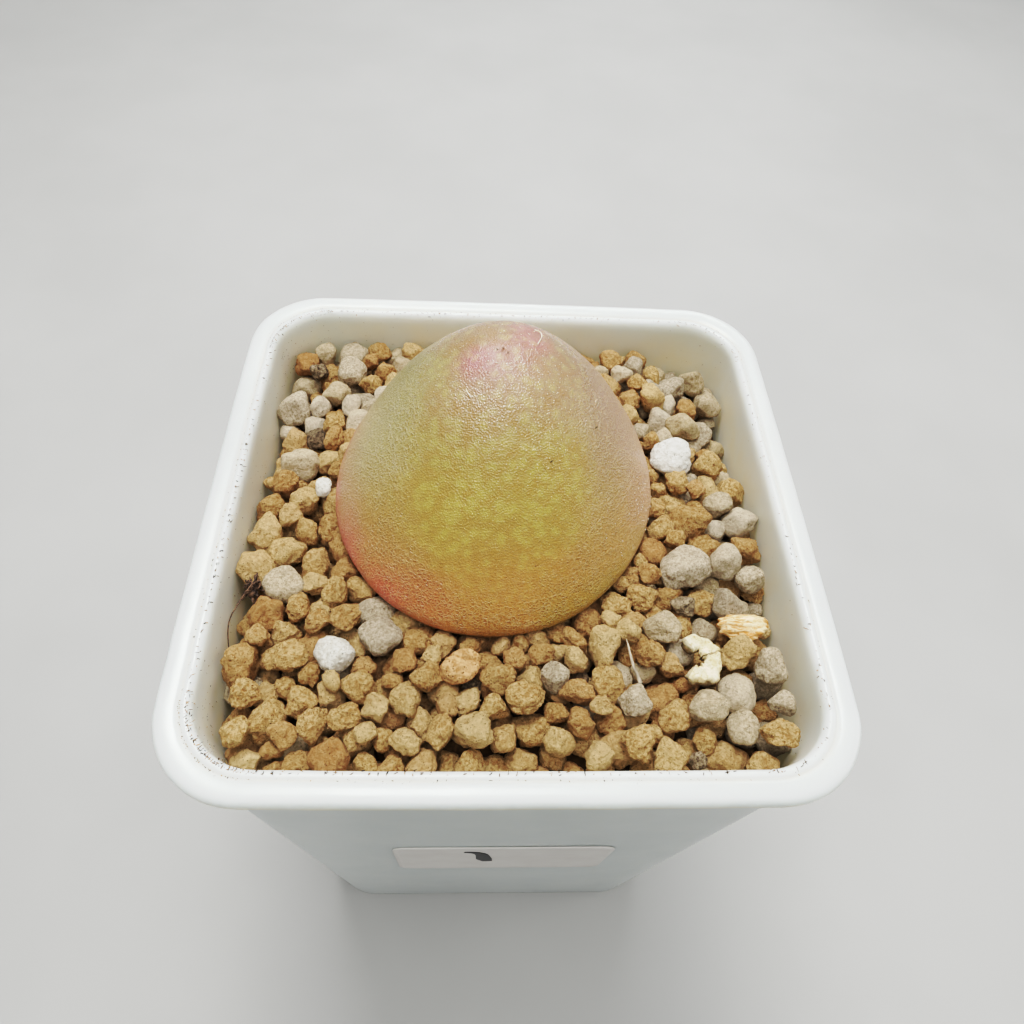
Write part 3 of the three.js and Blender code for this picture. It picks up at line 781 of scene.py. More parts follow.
# Painted zones of the skin: compass angle from the front (positive to the right), share of the height,
# reach in millimetres, and display colour.
SKIN_ZONES = [
    [0, 0.00, 2.6, (150, 112, 52)],
    [0, 0.13, 3.2, (188, 138, 78)],
    [0, 0.27, 3.2, (188, 144, 82)],
    [0, 0.38, 3.2, (184, 150, 82)],
    [0, 0.50, 3.6, (184, 163, 86)],
    [0, 0.62, 4.0, (188, 171, 92)],
    [-2, 0.72, 4.0, (188, 170, 94)],
    [-2, 0.84, 3.4, (184, 164, 104)],
    [0, 0.91, 3.0, (178, 152, 104)],
    [-10, 0.96, 2.2, (176, 142, 112)],
    [-30, 0.985, 1.8, (188, 150, 136)],
    [90, 0.985, 1.6, (174, 130, 110)],
    [-24, 0.06, 3.0, (188, 126, 78)],
    [-40, 0.03, 2.3, (202, 94, 82)],
    [-62, 0.02, 2.5, (206, 80, 88)],
    [-80, 0.01, 2.2, (208, 86, 92)],
    [-100, 0.02, 3.0, (196, 120, 100)],
    [-64, 0.09, 2.6, (192, 142, 112)],
    [-44, 0.16, 3.4, (188, 138, 88)],
    [-72, 0.17, 3.0, (188, 154, 112)],
    [-92, 0.20, 4.0, (186, 160, 118)],
    [-48, 0.30, 3.4, (180, 146, 84)],
    [-54, 0.42, 3.4, (178, 154, 92)],
    [-34, 0.55, 3.4, (182, 162, 84)],
    [-70, 0.50, 3.4, (182, 170, 114)],
    [-88, 0.52, 4.0, (182, 174, 122)],
    [-48, 0.70, 3.2, (180, 164, 98)],
    [-76, 0.68, 3.4, (174, 170, 106)],
    [-84, 0.82, 3.2, (178, 166, 106)],
    [-56, 0.88, 3.0, (188, 162, 120)],
    # The dark olive zone at the upper left edge is the skin's dark green, made darker still as painted
    # shade.
    [-112, 0.70, 3.6, (128, 128, 62)],
    [-118, 0.45, 3.6, (146, 138, 88)],
    [28, 0.04, 3.0, (148, 130, 58)],
    [42, 0.03, 2.6, (150, 134, 68)],
    [28, 0.16, 3.2, (186, 140, 78)],
    [46, 0.16, 3.0, (182, 144, 84)],
    [48, 0.30, 3.2, (180, 146, 90)],
    [34, 0.50, 3.4, (179, 158, 86)],
    [56, 0.44, 3.2, (182, 156, 106)],
    [66, 0.56, 3.2, (178, 150, 106)],
    [40, 0.70, 3.2, (180, 160, 88)],
    [72, 0.22, 3.2, (184, 148, 108)],
    [84, 0.08, 3.0, (194, 160, 124)],
    [60, 0.03, 2.4, (178, 150, 96)],
    [88, 0.58, 3.6, (180, 150, 120)],
    [106, 0.40, 4.0, (178, 148, 116)],
    [60, 0.82, 3.0, (186, 162, 116)],
    [78, 0.88, 3.0, (178, 152, 112)],
    [110, 0.82, 3.4, (152, 124, 88)],
    [120, 0.55, 4.0, (164, 134, 104)],
    [-140, 0.85, 4.0, (170, 142, 100)],
    [180, 0.70, 6.0, (166, 142, 102)],
    [180, 0.30, 7.0, (174, 150, 108)],
    [-150, 0.35, 6.0, (172, 152, 104)],
    [150, 0.25, 6.0, (180, 146, 112)],
    [-140, 0.03, 4.0, (190, 124, 98)],
    [140, 0.03, 4.0, (190, 134, 106)],
    [180, 0.02, 4.0, (184, 132, 92)],
    [-76, 0.962, 1.5, (188, 116, 124)],
    [-62, 0.978, 1.3, (188, 124, 128)],
    [148, 0.905, 1.5, (184, 104, 108)],
    [120, 0.955, 1.5, (188, 118, 118)],
]
# The part of the seen colour that is the skin's own; the rest is gloss.
SKIN_SHARE = np.array([0.70, 0.66, 0.76])


def zone_point(compass, share):
    """A place on the plant's skin from its compass angle and height share."""
    lean = math.asin(max(share, 0) ** (1 / RISE_POWER))
    radius = PLANT_RADIUS * math.cos(lean) ** RADIUS_POWER
    place = PLANT_AXIS + radius * plant_direction(math.radians(compass - 90))
    return np.array([*place, PLANT_WIDEST_Z + PLANT_HEIGHT * share])


def skin_colours(points):
    """Painted colour of each point, lighter low down as painted light, and how strongly the skin is
    wrinkled there.
    """
    total = np.zeros((len(points), 3))
    weights = np.full(len(points), 1e-9)
    wander = np.stack([fractal(points, 3.0, 3, seed) for seed in (5, 6, 7)], 1) * 0.55
    for compass, share, reach, colour in SKIN_ZONES:
        distance = np.linalg.norm(points + wander - zone_point(compass, share), axis=1)
        weight = np.exp(-(distance / reach) ** 2) + 1e-6 / (1 + distance) ** 2
        total += weight[:, None] * linear(*colour)
        weights += weight
    paint = total / weights[:, None] * SKIN_SHARE
    # Painted light: the skin is painted lighter low down and darker towards the top, to even out the light
    # that falls on it.
    paint *= 1.5 - 0.58 * smooth_step(points[:, 2], PLANT_WIDEST_Z, PLANT_TOP)[:, None]
    from_middle = np.linalg.norm(points + wander * 1.5 - zone_point(0, 0.62), axis=1)
    network = smooth_step(from_middle, 7.0, 12.0)
    network *= 1 - smooth_step(points[:, 2], PLANT_TOP - 5.5, PLANT_TOP - 2.5)
    return np.column_stack([paint, network])


def skin_swell(points):
    """How far the body's broad swellings push its skin out."""
    return fractal(points, 11.0, 2, 3) * 0.16


def build_plant():
    profile = plant_profile()
    section = plant_direction(turns(384))
    rings = np.array([at_height(PLANT_AXIS + radius * section, z) for z, radius in profile])
    points, faces = loft([*PLANT_AXIS, profile[0, 0] - 0.4], rings, [*PLANT_AXIS, profile[-1, 0] + 0.002])
    out = skin_swell(points) + fractal(points, 3.4, 2, 8) * 0.045 + mouth_height(points)
    points = points + surface_normals(points, faces) * out[:, None]
    make_piece("conophytum_body", points, faces, skin_material(), "conophytum", ("conophytum",),
               skin_colours(points))


def surface_normals(points, faces):
    """The outward direction at each point of a mesh."""
    corners = points[faces]
    cross = np.cross(corners[:, 1] - corners[:, 0], corners[:, 2] - corners[:, 0])
    total = np.zeros_like(points)
    for k in range(3):
        np.add.at(total, faces[:, k], cross)
    return total / np.maximum(np.linalg.norm(total, axis=1), 1e-12)[:, None]


def cell_ridges(points, size):
    """Rounded pebbles: high in the middle of each cell, low at the borders."""
    scaled = points / size
    base = np.floor(scaled).astype(np.int64)
    nearest = np.full(len(points), 9.0)
    for corner in range(27):
        cell = base + [corner % 3 - 1, corner // 3 % 3 - 1, corner // 9 - 1]
        jitter = np.stack([lattice(cell, seed) for seed in (101, 102, 103)], 1) * 0.42
        nearest = np.minimum(nearest, np.linalg.norm(cell + 0.5 + jitter - scaled, axis=1))
    return 1 - 1.6 * nearest


def mouth_height(points):
    """The shallow sunken mouth at the top, with a hair-thin crease."""
    u, v = rotated(*(points[:, :2] - PLANT_AXIS).T, math.radians(20))
    near_top = smooth_step(points[:, 2], PLANT_TOP - 2, PLANT_TOP - 1)
    hollow = np.exp(-(u / 1.3) ** 2 - (v / 0.9) ** 2) * 0.12
    crease = np.exp(-(u / 0.5) ** 4 - (v / 0.09) ** 2) * 0.05
    return -(hollow + crease) * near_top


def skin_point(compass, share, lift=0.0):
    """A place above the skin, and the outward direction there."""
    here = zone_point(compass, share)
    ahead = zone_point(compass + 1, share) - here
    upward = zone_point(compass, min(share + 0.01, 0.999)) - here
    out = np.cross(ahead, upward)
    out /= np.linalg.norm(out)
    return here + out * lift, out


def build_plant_hairs():
    """Two pale fibres that lie on the skin; each stop is a compass angle and a height share."""
    long_stops = [(144, 0.92), (139, 0.912), (130, 0.93), (114, 0.962)]
    short_stops = [(-44, 0.925), (-40, 0.922), (-36, 0.919)]
    parts = []
    for stops in (long_stops, short_stops):
        path = curve_through([skin_point(*stop, 0.14)[0] for stop in stops], 14)
        parts.append(tube(path, np.linspace(0.05, 0.03, 14), 7))
    make_piece("skin_hairs", *joined(parts), hair_material(), "conophytum")


# Pale flecks painted as glints of light, and dark crumbs, on the skin: count, compass middle and spread,
# height middle and spread, size, and colour.
SKIN_GLINTS_AND_CRUMBS = [
    [230, 30, 11, 0.79, 0.055, 0.035, (255, 240, 190)],
    [340, 0, 62, 0.90, 0.045, 0.036, (255, 246, 214)],
    [150, 30, 70, 0.955, 0.03, 0.04, (255, 250, 234)],
    [120, 0, 70, 0.55, 0.2, 0.026, (250, 236, 170)],
    [90, -20, 50, 0.12, 0.08, 0.026, (246, 214, 160)],
    [60, 74, 10, 0.14, 0.08, 0.05, (250, 244, 226)],
    [14, 0, 80, 0.50, 0.30, 0.05, (92, 66, 36)],
]


def build_plant_glints_and_crumbs():
    """Pale flecks painted as glints of light on the skin, and a few dark crumbs."""
    rng = np.random.default_rng(41)
    ball, faces = unit_sphere(1)
    parts = []

    def crumb(centre, out, radius, colour, length=1.0):
        shape = ball * rng.uniform(0.75, 1.25, (len(ball), 1)) * [1, 1, length] @ turn_matrix(rng).T
        shape = shape - out * (shape @ out)[:, None] * 0.5
        parts.append((centre + shape * radius, faces, linear(*colour)))

    # The pale rows are painted glints of light; the last row is dark crumbs.
    for count, compass, spread, share, share_spread, size, colour in SKIN_GLINTS_AND_CRUMBS:
        for _ in range(count):
            place = np.clip(share + share_spread * rng.normal(), 0.02, 0.992)
            centre, out = skin_point(compass + spread * rng.normal(), place, 0.01)
            crumb(centre + out * skin_swell(centre[None])[0], out, size * rng.uniform(0.6, 1.5), colour)
    # Three dark dots in the mouth, and three short dark threads lower down.
    top = np.array([*PLANT_AXIS, PLANT_TOP - 0.1])
    for dx, dy in ((-0.65, 0.2), (-0.1, 0.35), (0.3, -0.2)):
        crumb(top + [dx, dy, 0], np.array([0, 0, 1.0]), 0.09, (84, 56, 40))
    for compass, share in ((68, 0.69), (30, 0.724), (-75, 0.4)):
        crumb(*skin_point(compass, share, 0.03), 0.08, (70, 58, 34), 3.0)
    tinted_piece("skin_glints_and_crumbs", parts, crumb_and_glint_material(), "conophytum")


# ---------- grit ----------

# Grains by kind: number of sides, sharpness of their edges, depth of lumps, of bumps and of pits.
GRAINS = {
    "akadama": (15, 13, 0.13, 0.095, 0.08),
    "pumice": (11, 15, 0.09, 0.045, 0.03),
    "perlite": (26, 7, 0.05, 0.06, 0.04),
    "lava": (12, 12, 0.14, 0.09, 0.07),
    "clay": (10, 8, 0.08, 0.03, 0.02),
}


def grain_shape(kind, seed, directions):
    """A grain about one unit in radius: a soft-edged random polytope with lumps and pits."""
    sides, sharpness, lumps, bumps, pits = GRAINS[kind]
    rng = np.random.default_rng(seed)
    planes = rng.normal(size=(sides, 3))
    planes /= np.linalg.norm(planes, axis=1)[:, None]
    offsets = rng.uniform(0.74, 1.0, sides)
    reach = np.maximum(directions @ planes.T, 0) / offsets
    radius = ((reach ** sharpness).sum(1) + 0.86 ** sharpness) ** (-1 / sharpness)
    away = directions + rng.uniform(0, 90, 3)
    radius = radius * (1 + lumps * fractal(away, 0.8, 2, seed) + bumps * fractal(away, 0.3, 3, seed + 3))
    radius -= pits * np.maximum(fractal(away, 0.16, 2, seed + 7), 0)
    return directions * radius[:, None]


def pot_inside_push(places, radii):
    """Moves grains back inside the pot's rounded-square wall."""
    half = inner_half_at(places[:, 2]) - radii
    corner = 5.6 - np.minimum(radii, 1.6)
    inner = half - corner
    over = np.abs(places[:, :2]) - inner[:, None]
    outside = np.maximum(over, 0)
    distance = np.linalg.norm(outside, axis=1)
    excess = np.maximum(distance - corner, 0)
    direction = np.sign(places[:, :2]) * outside / np.maximum(distance, 1e-9)[:, None]
    places[:, :2] -= direction * excess[:, None]


def turned_offset(places):
    """Places in the plant's own section, where its outline is a circle."""
    along, across = rotated(*(places[:, :2] - PLANT_AXIS).T, -PLANT_TURN)
    return along / PLANT_STRETCH, across * PLANT_STRETCH


def plant_push(places, radii, profile):
    """Moves grains out of the plant's body."""
    along, across = turned_offset(places)
    distance = np.maximum(np.hypot(along, across), 1e-6)
    level = np.interp(places[:, 2] + radii * 0.35, profile[:, 0], profile[:, 1], left=4.0)
    wanted = level + radii * 0.92
    scale = np.maximum(wanted / distance, 1)
    scale = np.minimum(scale, 1 + 0.6 / distance)
    x, y = rotated(along * scale * PLANT_STRETCH, across * scale / PLANT_STRETCH, PLANT_TURN)
    places[:, :2] = PLANT_AXIS + np.column_stack([x, y])


def named_push(places, radii, centres, halves):
    """Moves grains out of the named pieces, and off their tops, so that those stay in sight."""
    for centre, half in zip(centres, halves):
        offset = places - centre
        reach = half + (radii * 0.93)[:, None]
        above = offset[:, 2] > -0.25 * half[2]
        scaled = offset / reach
        scaled[above, 2] = 0
        distance = np.maximum(np.linalg.norm(scaled, axis=1), 1e-6)
        inside = distance < 1
        move = (offset / distance[:, None] - offset)[inside]
        move[above[inside], 2] = 0
        places[inside] += np.clip(move, -0.5, 0.5)


def ceiling_at(places):
    """How high the tops of loose grains reach: lower beside the plant and at the left."""
    along, across = turned_offset(places)
    gap = np.hypot(along, across) - PLANT_RADIUS
    open_ground = LOOSE_LEVEL + 1.5 + 0.022 * places[:, 0] - 0.012 * places[:, 1]
    beside_plant = PLANT_WIDEST_Z - 0.75
    return beside_plant + (open_ground - beside_plant) * smooth_step(gap, 0.5, 3.0)


def pack_grains(centres, halves):
    """Settles loose balls in the pot, around the plant and the named pieces."""
    rng = np.random.default_rng(11)
    radii = np.clip(rng.lognormal(math.log(1.31), 0.21, GRIT_COUNT), 0.72, 1.9)
    spans = [(-25.5, 25.5), (-25.5, 25.5), (GRIT_FLOOR + 1, GRIT_FLOOR + 6.5)]
    places = np.column_stack([rng.uniform(low, high, GRIT_COUNT) for low, high in spans])
    profile = plant_profile()
    touching = radii[:, None] + radii[None]
    for step in range(190):
        places[:, 2] -= 0.03 if step < 150 else 0.0
        exact = places.astype(np.float32)
        squares = (exact ** 2).sum(1)
        gaps = squares[:, None] + squares[None] - 2 * exact @ exact.T
        first, second = np.nonzero(gaps < touching ** 2)
        keep = first != second
        first, second = first[keep], second[keep]
        apart = places[first] - places[second]
        distance = np.maximum(np.linalg.norm(apart, axis=1), 1e-3)
        depth = touching[first, second] - distance
        moves = apart / distance[:, None] * (depth * 0.4)[:, None]
        total = np.zeros_like(places)
        np.add.at(total, first, moves)
        places += total * 0.8
        named_push(places, radii, centres, halves)
        plant_push(places, radii, profile)
        pot_inside_push(places, radii)
        places[:, 2] = np.minimum(places[:, 2], ceiling_at(places) - radii)
        places[:, 2] = np.maximum(places[:, 2], GRIT_FLOOR + radii)
    return places, radii


def seen_from_above(places, radii):
    """How many half-millimetre squares of the view from above each loose grain owns."""
    spacing = np.arange(-27, 27.01, 0.5)
    grid_x, grid_y = np.meshgrid(spacing, spacing)
    top = np.full(grid_x.shape, -1e9)
    owner = np.full(grid_x.shape, -1)
    for k, (place, radius) in enumerate(zip(places, radii)):
        square = radius ** 2 - (grid_x - place[0]) ** 2 - (grid_y - place[1]) ** 2
        height = np.where(square > 0, place[2] + np.sqrt(np.maximum(square, 0)), -1e9)
        higher = height > top
        top[higher] = height[higher]
        owner[higher] = k
    return np.bincount(owner[owner >= 0], minlength=len(places))


def grain_kind(x, y, chance):
    """Pumice gathers at the right and the back, lava and perlite are rare, and the rest is akadama."""
    pumice_share = 0.05 + 0.42 * smooth_step(x, 8, 24) + 0.4 * smooth_step(y, 4, 24)
    if chance < 0.008:
        return "lava"
    if chance < 0.016:
        return "perlite"
    return "pumice" if chance < 0.016 + pumice_share * 0.8 else "akadama"


STRETCHES = {"akadama": (0.84, 1.22), "pumice": (0.88, 1.18), "other": (0.85, 1.2)}


def grit_piece(name, kind, material, rows, balls, rng):
    """One mesh of many grains of a kind. Rows hold place, radius and level of detail."""
    seeds = [500 + k * 13 + len(kind) for k in range(GRAIN_SHAPES)]
    shapes = {level: [grain_shape(kind, seed, balls[level][0]) for seed in seeds] for level in (FAR, NEAR)}
    parts = []
    for place, radius, level in rows:
        shape = shapes[level][rng.integers(GRAIN_SHAPES)]
        # A stretch is drawn for every kind, and only this kind's is used.
        drawn = {key: rng.uniform(low, high, 3) for key, (low, high) in STRETCHES.items()}
        stretch = drawn.get(kind, drawn["other"])
        stretch /= stretch.prod() ** (1 / 3)
        grain = (shape * stretch * radius * GRAIN_OVERSIZE) @ turn_matrix(rng).T + place
        parts.append((grain, balls[level][1], [rng.uniform(), rng.uniform() ** 2.5, rng.uniform()]))
    tinted_piece(name, parts, material, kind, ("soil_bed",))


def build_bed_core():
    """The body of the mix under the grains that show: closed, with a lumpy top, painted dark brown as
    painted shade in the gaps between the grains.
    """
    low_z, top_z = FLOOR_THICKNESS + 0.35, GRIT_FLOOR + 0.6

    def outline(z):
        return rounded_square(inner_half_at(z) - BED_GAP, BED_CORNER, 0.0, 12, 6)

    rings = [at_height(outline(z), z) for z in (low_z, 20.0, 40.0, 60.0, top_z - 0.5)]
    rings += [at_height(outline(top_z) * share, top_z) for share in np.linspace(0.97, 0.03, 40)]
    points, faces = loft([0, 0, low_z], np.array(rings), [0, 0, top_z])
    lumpy = smooth_step(points[:, 2], top_z - 0.4, top_z - 0.1)
    points[:, 2] += lumpy * 0.5 * cell_ridges(points * [1, 1, 0], 2.6)
    tints = np.full((len(points), 3), 0.4)
    make_piece("mix_core", points, faces, stone_material("shaded_bed_core"), "soil_bed", ("soil_bed",), tints)


NAMED_LUMPS = {
    "perlite": ["perlite_front_left", "perlite_right", "perlite_left_small"],
    "pumice": ["pumice_front_left", "pumice_right_large", "pumice_right_near", "pumice_right_wall",
               "pumice_right_front", "pumice_right_corner", "pumice_front_right", "pumice_front_middle",
               "pumice_back_left"],
    "akadama": ["akadama_left_round", "akadama_left_long", "akadama_left_wall", "akadama_left_corner",
                "akadama_front_left", "akadama_front_stub", "akadama_front_middle", "akadama_right_round",
                "akadama_front_right", "akadama_right_corner"],
    "lava": ["lava_right", "lava_front", "lava_back_left"],
}
OTHER_PIECES = ["creased_lump", "curled_husk", "bark_chip", "moss_tuft", "straw_fibre"]

LOOSE_LEVEL = float(np.mean([node_box(name)[0][2] for name in sum(NAMED_LUMPS.values(), [])]))

# Looks of single lumps where they differ from their kind: light or dark share, and second-hue share.
LUMP_TINTS = {
    "akadama_left_round": (0.25, 0.25),
    "akadama_right_round": (0.35, 0.1),
    "akadama_left_corner": (0.55, 0.0),
    "pumice_front_left": (0.3, 0.0),
    "pumice_right_large": (0.6, 0.05),
    "pumice_right_near": (0.4, 0.5),
    "pumice_right_front": (0.5, 0.2),
    "pumice_front_right": (0.5, 0.45),
    "perlite_right": (0.9, 0.0),
    "lava_right": (0.75, 0.1),
}


def build_named_lump(name, kind, material, ball, seed):
    """The fine shape of one of the lumps that can be told apart."""
    centre, size = node_box(name)
    shape = fitted(grain_shape(kind, seed, ball[0]), centre, size * GRAIN_OVERSIZE)
    light, hue = LUMP_TINTS.get(name, (0.5, 0.15))
    tints = np.tile([light, hue, 0.5], (len(shape), 1))
    make_piece(name + "_detail", shape, ball[1], material, kind, (name,), tints)


def build_creased_lump(ball):
    """A red-brown lump with a bent crease across its top."""
    shape = grain_shape("clay", 905, ball[0])
    x, y, z = shape.T
    across = x * 0.35 + y
    bend = across - 0.28 - 0.35 * x ** 2
    groove = np.exp(-(bend / 0.085) ** 2) * smooth_step(z, -0.2, 0.5)
    branch = np.exp(-((x - 0.35 - 0.2 * y) / 0.06) ** 2) * (across < 0.3) * 0.6 * smooth_step(z, 0.0, 0.5)
    centre, size = node_box("creased_lump")
    shape = fitted(shape * (1 - 0.16 * groove - 0.09 * branch)[:, None], centre, size * 1.03)
    tints = np.tile([0.45, 0.2, 0.5], (len(shape), 1))
    make_piece("creased_lump_detail", shape, ball[1], stone_material("creased_clay"), "creased_lump",
               ("creased_lump",), tints)


def build_husk():
    """A torn strip of husk curled into a letter C, open to the left, with a crack half way."""
    centre, size = node_box("curled_husk")
    sections = 150
    turn = turns(30)
    cross = np.sign(np.cos(turn)) * np.abs(np.cos(turn)) ** 0.7
    rise = np.sign(np.sin(turn)) * np.abs(np.sin(turn)) ** 0.8
    # The top of the strip is dished, as a shell of husk is.
    level = rise - 0.34 * np.exp(-(cross / 0.5) ** 2) * (rise > 0)
    rings, tints = [], [0]
    for share, angle in zip(np.linspace(0, 1, sections), np.linspace(2.25, -2.35, sections)):
        out = np.array([math.cos(angle), math.sin(angle), 0])
        middle = out * size * [0.40, 0.36, 0]
        width = 0.98 * (0.62 + 0.38 * math.sin(math.pi * np.clip(share, 0.08, 0.92)))
        width *= 1 + 0.14 * math.sin(share * 21) + 0.1 * math.sin(share * 47 + 1)
        height = size[2] * 0.5 * (0.9 + 0.12 * math.sin(share * 17))
        crack = math.exp(-((share - 0.43) / 0.008) ** 2)
        squeeze = 1 - 0.45 * crack
        ring = middle + out * (cross * width * squeeze)[:, None]
        ring[:, 2] += level * height * squeeze
        rings.append(ring)
        # The lower half of the strip and its crack are painted grey-brown as painted shade; the torn ends
        # are grey-brown too.
        grey_brown_share = np.where(rise < 0.1, 0.55, 0.0) + crack * 0.8 + 0.5 * (share < 0.03 or share > 0.97)
        tints.extend(np.clip(grey_brown_share, 0, 1))
    tints.append(0.5)
    rings = np.array(rings)
    points, faces = loft(rings[0].mean(0), rings, rings[-1].mean(0))
    normals = surface_normals(points, faces)
    points = points - normals * (0.17 * fractal(points + 40, 0.7, 4, 71))[:, None]
    points = points * np.minimum(1, size * 1.06 / (points.max(0) - points.min(0)))
    points = points - (points.max(0) + points.min(0)) / 2 + centre
    make_piece("curled_husk_detail", points, faces[:, ::-1], husk_material(), "curled_husk",
               ("curled_husk",), np.column_stack([tints] * 3))


def build_bark(ball):
    """A chip of bark: a flat oval whose layers step back one behind the other."""
    shape = grain_shape("clay", 733, ball[0]) * [1.15, 0.75, 0.6]
    layer = np.floor((shape[:, 1] + 0.18 * shape[:, 0] + 0.05 * fractal(shape, 0.4, 2, 4)) * 7)
    step = (layer % 2) * 0.07 + 0.03 * value_noise(np.column_stack([layer] * 3) * 0.9, 5)
    shape = shape * (1 + step)[:, None]
    shape[:, 2] += 0.05 * fractal(shape * [0.6, 3, 1], 0.4, 3, 21)
    centre, size = node_box("bark_chip")
    shape = fitted(shape, centre, size * [1.2, 1.08, 1.05])
    make_piece("bark_chip_detail", shape, ball[1], bark_material(), "bark_chip", ("bark_chip",))


def build_moss():
    """A tangle of dry stalks against the left wall, with one long hair along the wall."""
    centre, size = node_box("moss_tuft")
    rng = np.random.default_rng(23)
    parts = []
    for _ in range(46):
        start = centre + rng.normal(size=3) * size * [0.1, 0.14, 0.12]
        heading = rng.normal(size=3) * [0.8, 1, 0.8] + [0.05, 0, 0.35]
        heading /= np.linalg.norm(heading)
        side = rng.normal(size=3) * 0.35
        length = rng.uniform(0.6, 1.5)
        middle = start + heading * length * 0.5 + side * 0.35
        path = curve_through([start, middle, start + heading * length + side * 0.2], 9)
        thick = rng.uniform(0.06, 0.13)
        stops = [thick, thick * 0.8, thick * 1.3, 0.02]
        parts.append(tube(path, np.interp(np.linspace(0, 1, 9), [0, 0.4, 0.75, 1], stops), 6))
    directions, faces = unit_sphere(5)
    parts.append((grain_shape("lava", 77, directions) * size * [0.3, 0.3, 0.28] + centre, faces))
    wall = -inner_half_at(centre[2])
    hair = curve_through([
        centre + [0.3, 0.6, 1.0],
        [wall + 1.0, centre[1] - 1.6, centre[2] + 0.9],
        [wall + 0.35, centre[1] - 3.8, centre[2] + 0.8],
        [wall + 0.5, centre[1] - 6.0, centre[2] - 0.2],
        [wall + 1.0, centre[1] - 7.8, centre[2] - 0.9],
    ], 40)
    parts.append(tube(hair, np.linspace(0.075, 0.045, 40), 8))
    make_piece("moss_tuft_detail", *joined(parts), moss_material(), "moss_tuft", ("moss_tuft",))


def build_fibre():
    """A dry straw fibre that leans on the grains in front of the plant."""
    centre, size = node_box("straw_fibre")
    path = curve_through([
        centre + [-0.3, size[1] * 0.56, 0.3],
        centre + [-0.05, size[1] * 0.15, 0.2],
        centre + [0.2, -size[1] * 0.25, 0.05],
        centre + [0.7, -size[1] * 0.6, -0.1],
    ], 26)
    radii = np.interp(np.linspace(0, 1, 26), [0, 0.2, 0.8, 1], [0.05, 0.10, 0.17, 0.24])
    points, faces = tube(path, radii, 10)
    points = points + (fractal(points, 0.5, 2, 91) * 0.04)[:, None]
    make_piece("straw_fibre_detail", points, faces, fibre_material(), "straw_fibre", ("straw_fibre",))


def build_grit():
    balls = {steps: unit_sphere(steps) for steps in (FAR, NEAR, LUMP)}
    materials = {kind: stone_material(kind) for kind in NAMED_LUMPS}
    boxes = [node_box(name) for name in [*sum(NAMED_LUMPS.values(), []), *OTHER_PIECES]]
    centres = np.array([centre for centre, _ in boxes])
    halves = np.array([size / 2 for _, size in boxes])
    places, radii = pack_grains(centres, halves)
    rng = np.random.default_rng(29)
    groups = {}
    for place, radius, squares in zip(places, radii, seen_from_above(places, radii)):
        chance = rng.uniform()
        if squares == 0 and place[2] < LOOSE_LEVEL - 2.6:
            continue
        kind = grain_kind(place[0], place[1], chance)
        area = ""
        if kind == "akadama":
            area = "_front" if place[1] < -14 else "_left" if place[0] < 0 else "_right"
        groups.setdefault((kind, area), []).append((place, radius, NEAR if squares > 10 else FAR))
    for (kind, area), rows in sorted(groups.items()):
        grit_piece(f"{kind}_grit{area}", kind, materials[kind], rows, balls, rng)
    seed = 1000
    for kind, names in NAMED_LUMPS.items():
        for name in names:
            build_named_lump(name, kind, materials[kind], balls[LUMP], seed)
            seed += 19
    build_creased_lump(balls[LUMP])
    build_husk()
    build_bark(balls[LUMP])
    build_moss()
    build_fibre()
    build_bed_core()


def build_rim_crumbs():
    """Dust and short scuffs of soil in the rim's groove and on the inner wall."""
    rng = np.random.default_rng(53)
    ball, faces = unit_sphere(1)
    browns = [(58, 46, 36), (96, 74, 50), (150, 112, 70), (46, 40, 36), (124, 98, 70), (172, 134, 88)]
    parts = []

    def crumb(centre, ahead, length, width, colour):
        across = np.cross(ahead, [0, 0, 1])
        axes = np.array([ahead * length, across * width, [0, 0, 0.6 * width]])
        shape = ball * rng.uniform(0.6, 1.3, (len(ball), 1)) @ axes
        parts.append((centre + shape, faces, linear(*colour)))

    def heading(turn):
        return np.array([math.cos(turn), math.sin(turn), 0])

    for _ in range(2600):
        inset = 2.4 + rng.normal() * 0.24
        ring = rounded_square(RIM_HALF - inset, 6.6, RIM_BOW, 60, 40)
        spot = rng.integers(len(ring))
        place, following = ring[spot], ring[(spot + 1) % len(ring)]
        dirty = smooth_step(-place[0] - 0.3 * place[1], -20, 34)
        if rng.uniform() > 0.34 + 0.5 * dirty:
            continue
        along = math.atan2(*(following - place)[::-1])
        turn = along + rng.choice([0.0, math.pi / 2]) + rng.normal() * 0.3
        low = np.interp(inset, [1.5, 2.02, 2.65, 2.95], [0.05, 0.31, 0.07, 0.3])
        crumb([*place, POT_HEIGHT - low], heading(turn), rng.uniform(0.05, 0.24), rng.uniform(0.025, 0.065),
              browns[rng.integers(6)])
    # The front left corner holds the most, and it is orange-brown.
    for _ in range(150):
        angle = rng.uniform(3.2, 4.6)
        radius = 6.62 + rng.normal() * 0.14
        place = 8.7 - RIM_HALF + radius * heading(angle)[:2]
        crumb([*place, POT_HEIGHT - 0.27], heading(rng.uniform(0, 6.3)), rng.uniform(0.04, 0.1),
              rng.uniform(0.03, 0.06), browns[rng.integers(1, 6)])
    for _ in range(900):
        z = 69.0 + 5.4 * rng.uniform() ** 1.6
        wall = rounded_square(inner_half_at(z) + 0.01, 5.9, bow_at(z), 60, 40)
        place = wall[rng.integers(len(wall))]
        dirty = smooth_step(-place[0] - 0.2 * place[1], -24, 26)
        if rng.uniform() > 0.12 + 0.7 * dirty:
            continue
        crumb([*place, z], heading(rng.uniform(0, 6.3)), rng.uniform(0.03, 0.09), rng.uniform(0.025, 0.06),
              browns[rng.integers(6)])
    tinted_piece("rim_crumbs", parts, crumb_and_glint_material(), "soil_bed")


# ---------- floor, lights and camera ----------

def build_floor():
    bpy.ops.mesh.primitive_plane_add(size=4.0, location=(0, 0, 0))
    floor = bpy.context.object
    floor.name = "floor"
    floor.data.materials.append(floor_material())


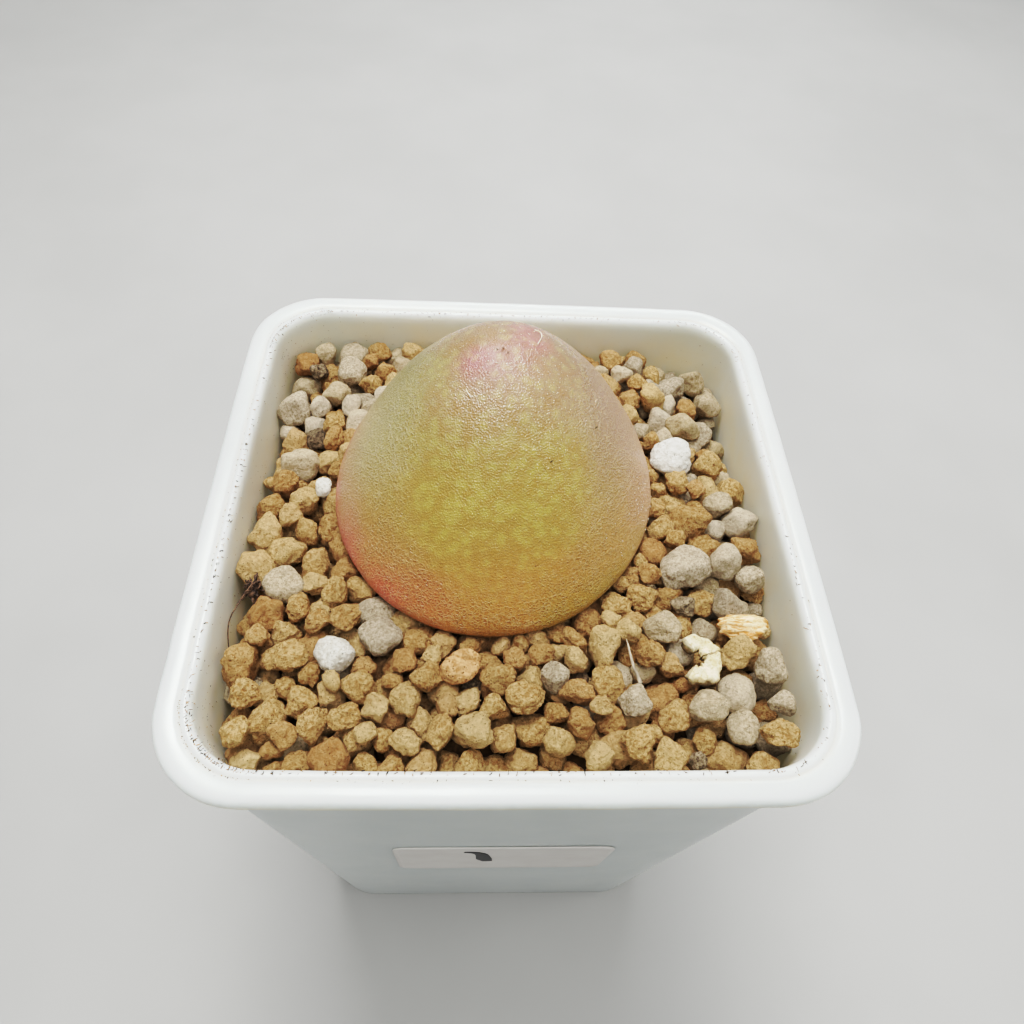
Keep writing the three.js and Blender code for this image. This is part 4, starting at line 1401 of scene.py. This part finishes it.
# Each soft round light: name, place in metres, width, power and colour. All aim at the top of the pot.
LIGHTS = [
    ("sheen_softbox", (-0.03, 0.12, 0.42), 0.17, 1.3, (1.0, 0.99, 0.98)),
    ("sky_panel", (0.0, -0.12, 0.80), 0.9, 4.9, (1.0, 0.995, 0.98)),
    ("back_softbox", (0.08, 0.42, 0.30), 0.30, 1.0, (0.97, 0.99, 1.0)),
    ("right_softbox", (0.44, 0.02, 0.24), 0.24, 0.4, (1.0, 0.99, 0.97)),
]


def build_lights():
    for name, place, width, power, colour in LIGHTS:
        data = bpy.data.lights.new(name, "AREA")
        data.shape = "DISK"
        data.size = width
        data.energy = power
        data.color = colour
        lamp = bpy.data.objects.new(name, data)
        lamp.location = place
        aim = Vector((0, 0, POT_HEIGHT * MM)) - Vector(place)
        lamp.rotation_euler = aim.to_track_quat("-Z", "Y").to_euler()
        bpy.context.scene.collection.objects.link(lamp)
    world = bpy.data.worlds.new("studio")
    world.use_nodes = True
    background = world.node_tree.nodes["Background"]
    background.inputs["Color"].default_value = (0.98, 0.99, 1.0, 1)
    background.inputs["Strength"].default_value = 0.13
    bpy.context.scene.world = world


def set_tone():
    """A phone-like tone curve: highlights held back, middle tones lifted."""
    view = bpy.context.scene.view_settings
    view.view_transform = "Standard"
    view.use_curve_mapping = True
    tone = view.curve_mapping
    tone.white_level = (2.0, 2.0, 2.0)
    curve = tone.curves[3]
    for place, height in ((0.025, 0.034), (0.1, 0.26), (0.2, 0.48), (0.4, 0.72), (0.65, 0.84)):
        curve.points.new(place, height)
    tone.update()


def build_camera():
    """A phone held close, above and in front of the pot."""
    data = bpy.data.cameras.new("camera")
    data.lens = 26.6
    data.sensor_width = 36
    data.clip_start = 0.002
    camera = bpy.data.objects.new("camera", data)
    pitch, yaw, roll = math.radians(54.7), math.radians(5.55), math.radians(5.6)
    level_out = Vector((math.sin(yaw), math.cos(yaw), 0))
    forward = level_out * math.cos(pitch) - Vector((0, 0, math.sin(pitch)))
    level = Vector((math.cos(yaw), -math.sin(yaw), 0))
    raised = level.cross(forward)
    right = level * math.cos(roll) + raised * math.sin(roll)
    up = -level * math.sin(roll) + raised * math.cos(roll)
    place = Vector((-4.2, -45.5, POT_HEIGHT + 61.9)) * MM
    camera.matrix_world = Matrix([*np.column_stack([right, up, -forward, place]).tolist(), [0, 0, 0, 1]])
    bpy.context.scene.collection.objects.link(camera)
    bpy.context.scene.camera = camera


build_camera()
build_floor()
build_lights()
set_tone()
build_pot()
build_label()
build_pen_stroke()
build_plant()
build_plant_hairs()
build_plant_glints_and_crumbs()
build_grit()
build_rim_crumbs()
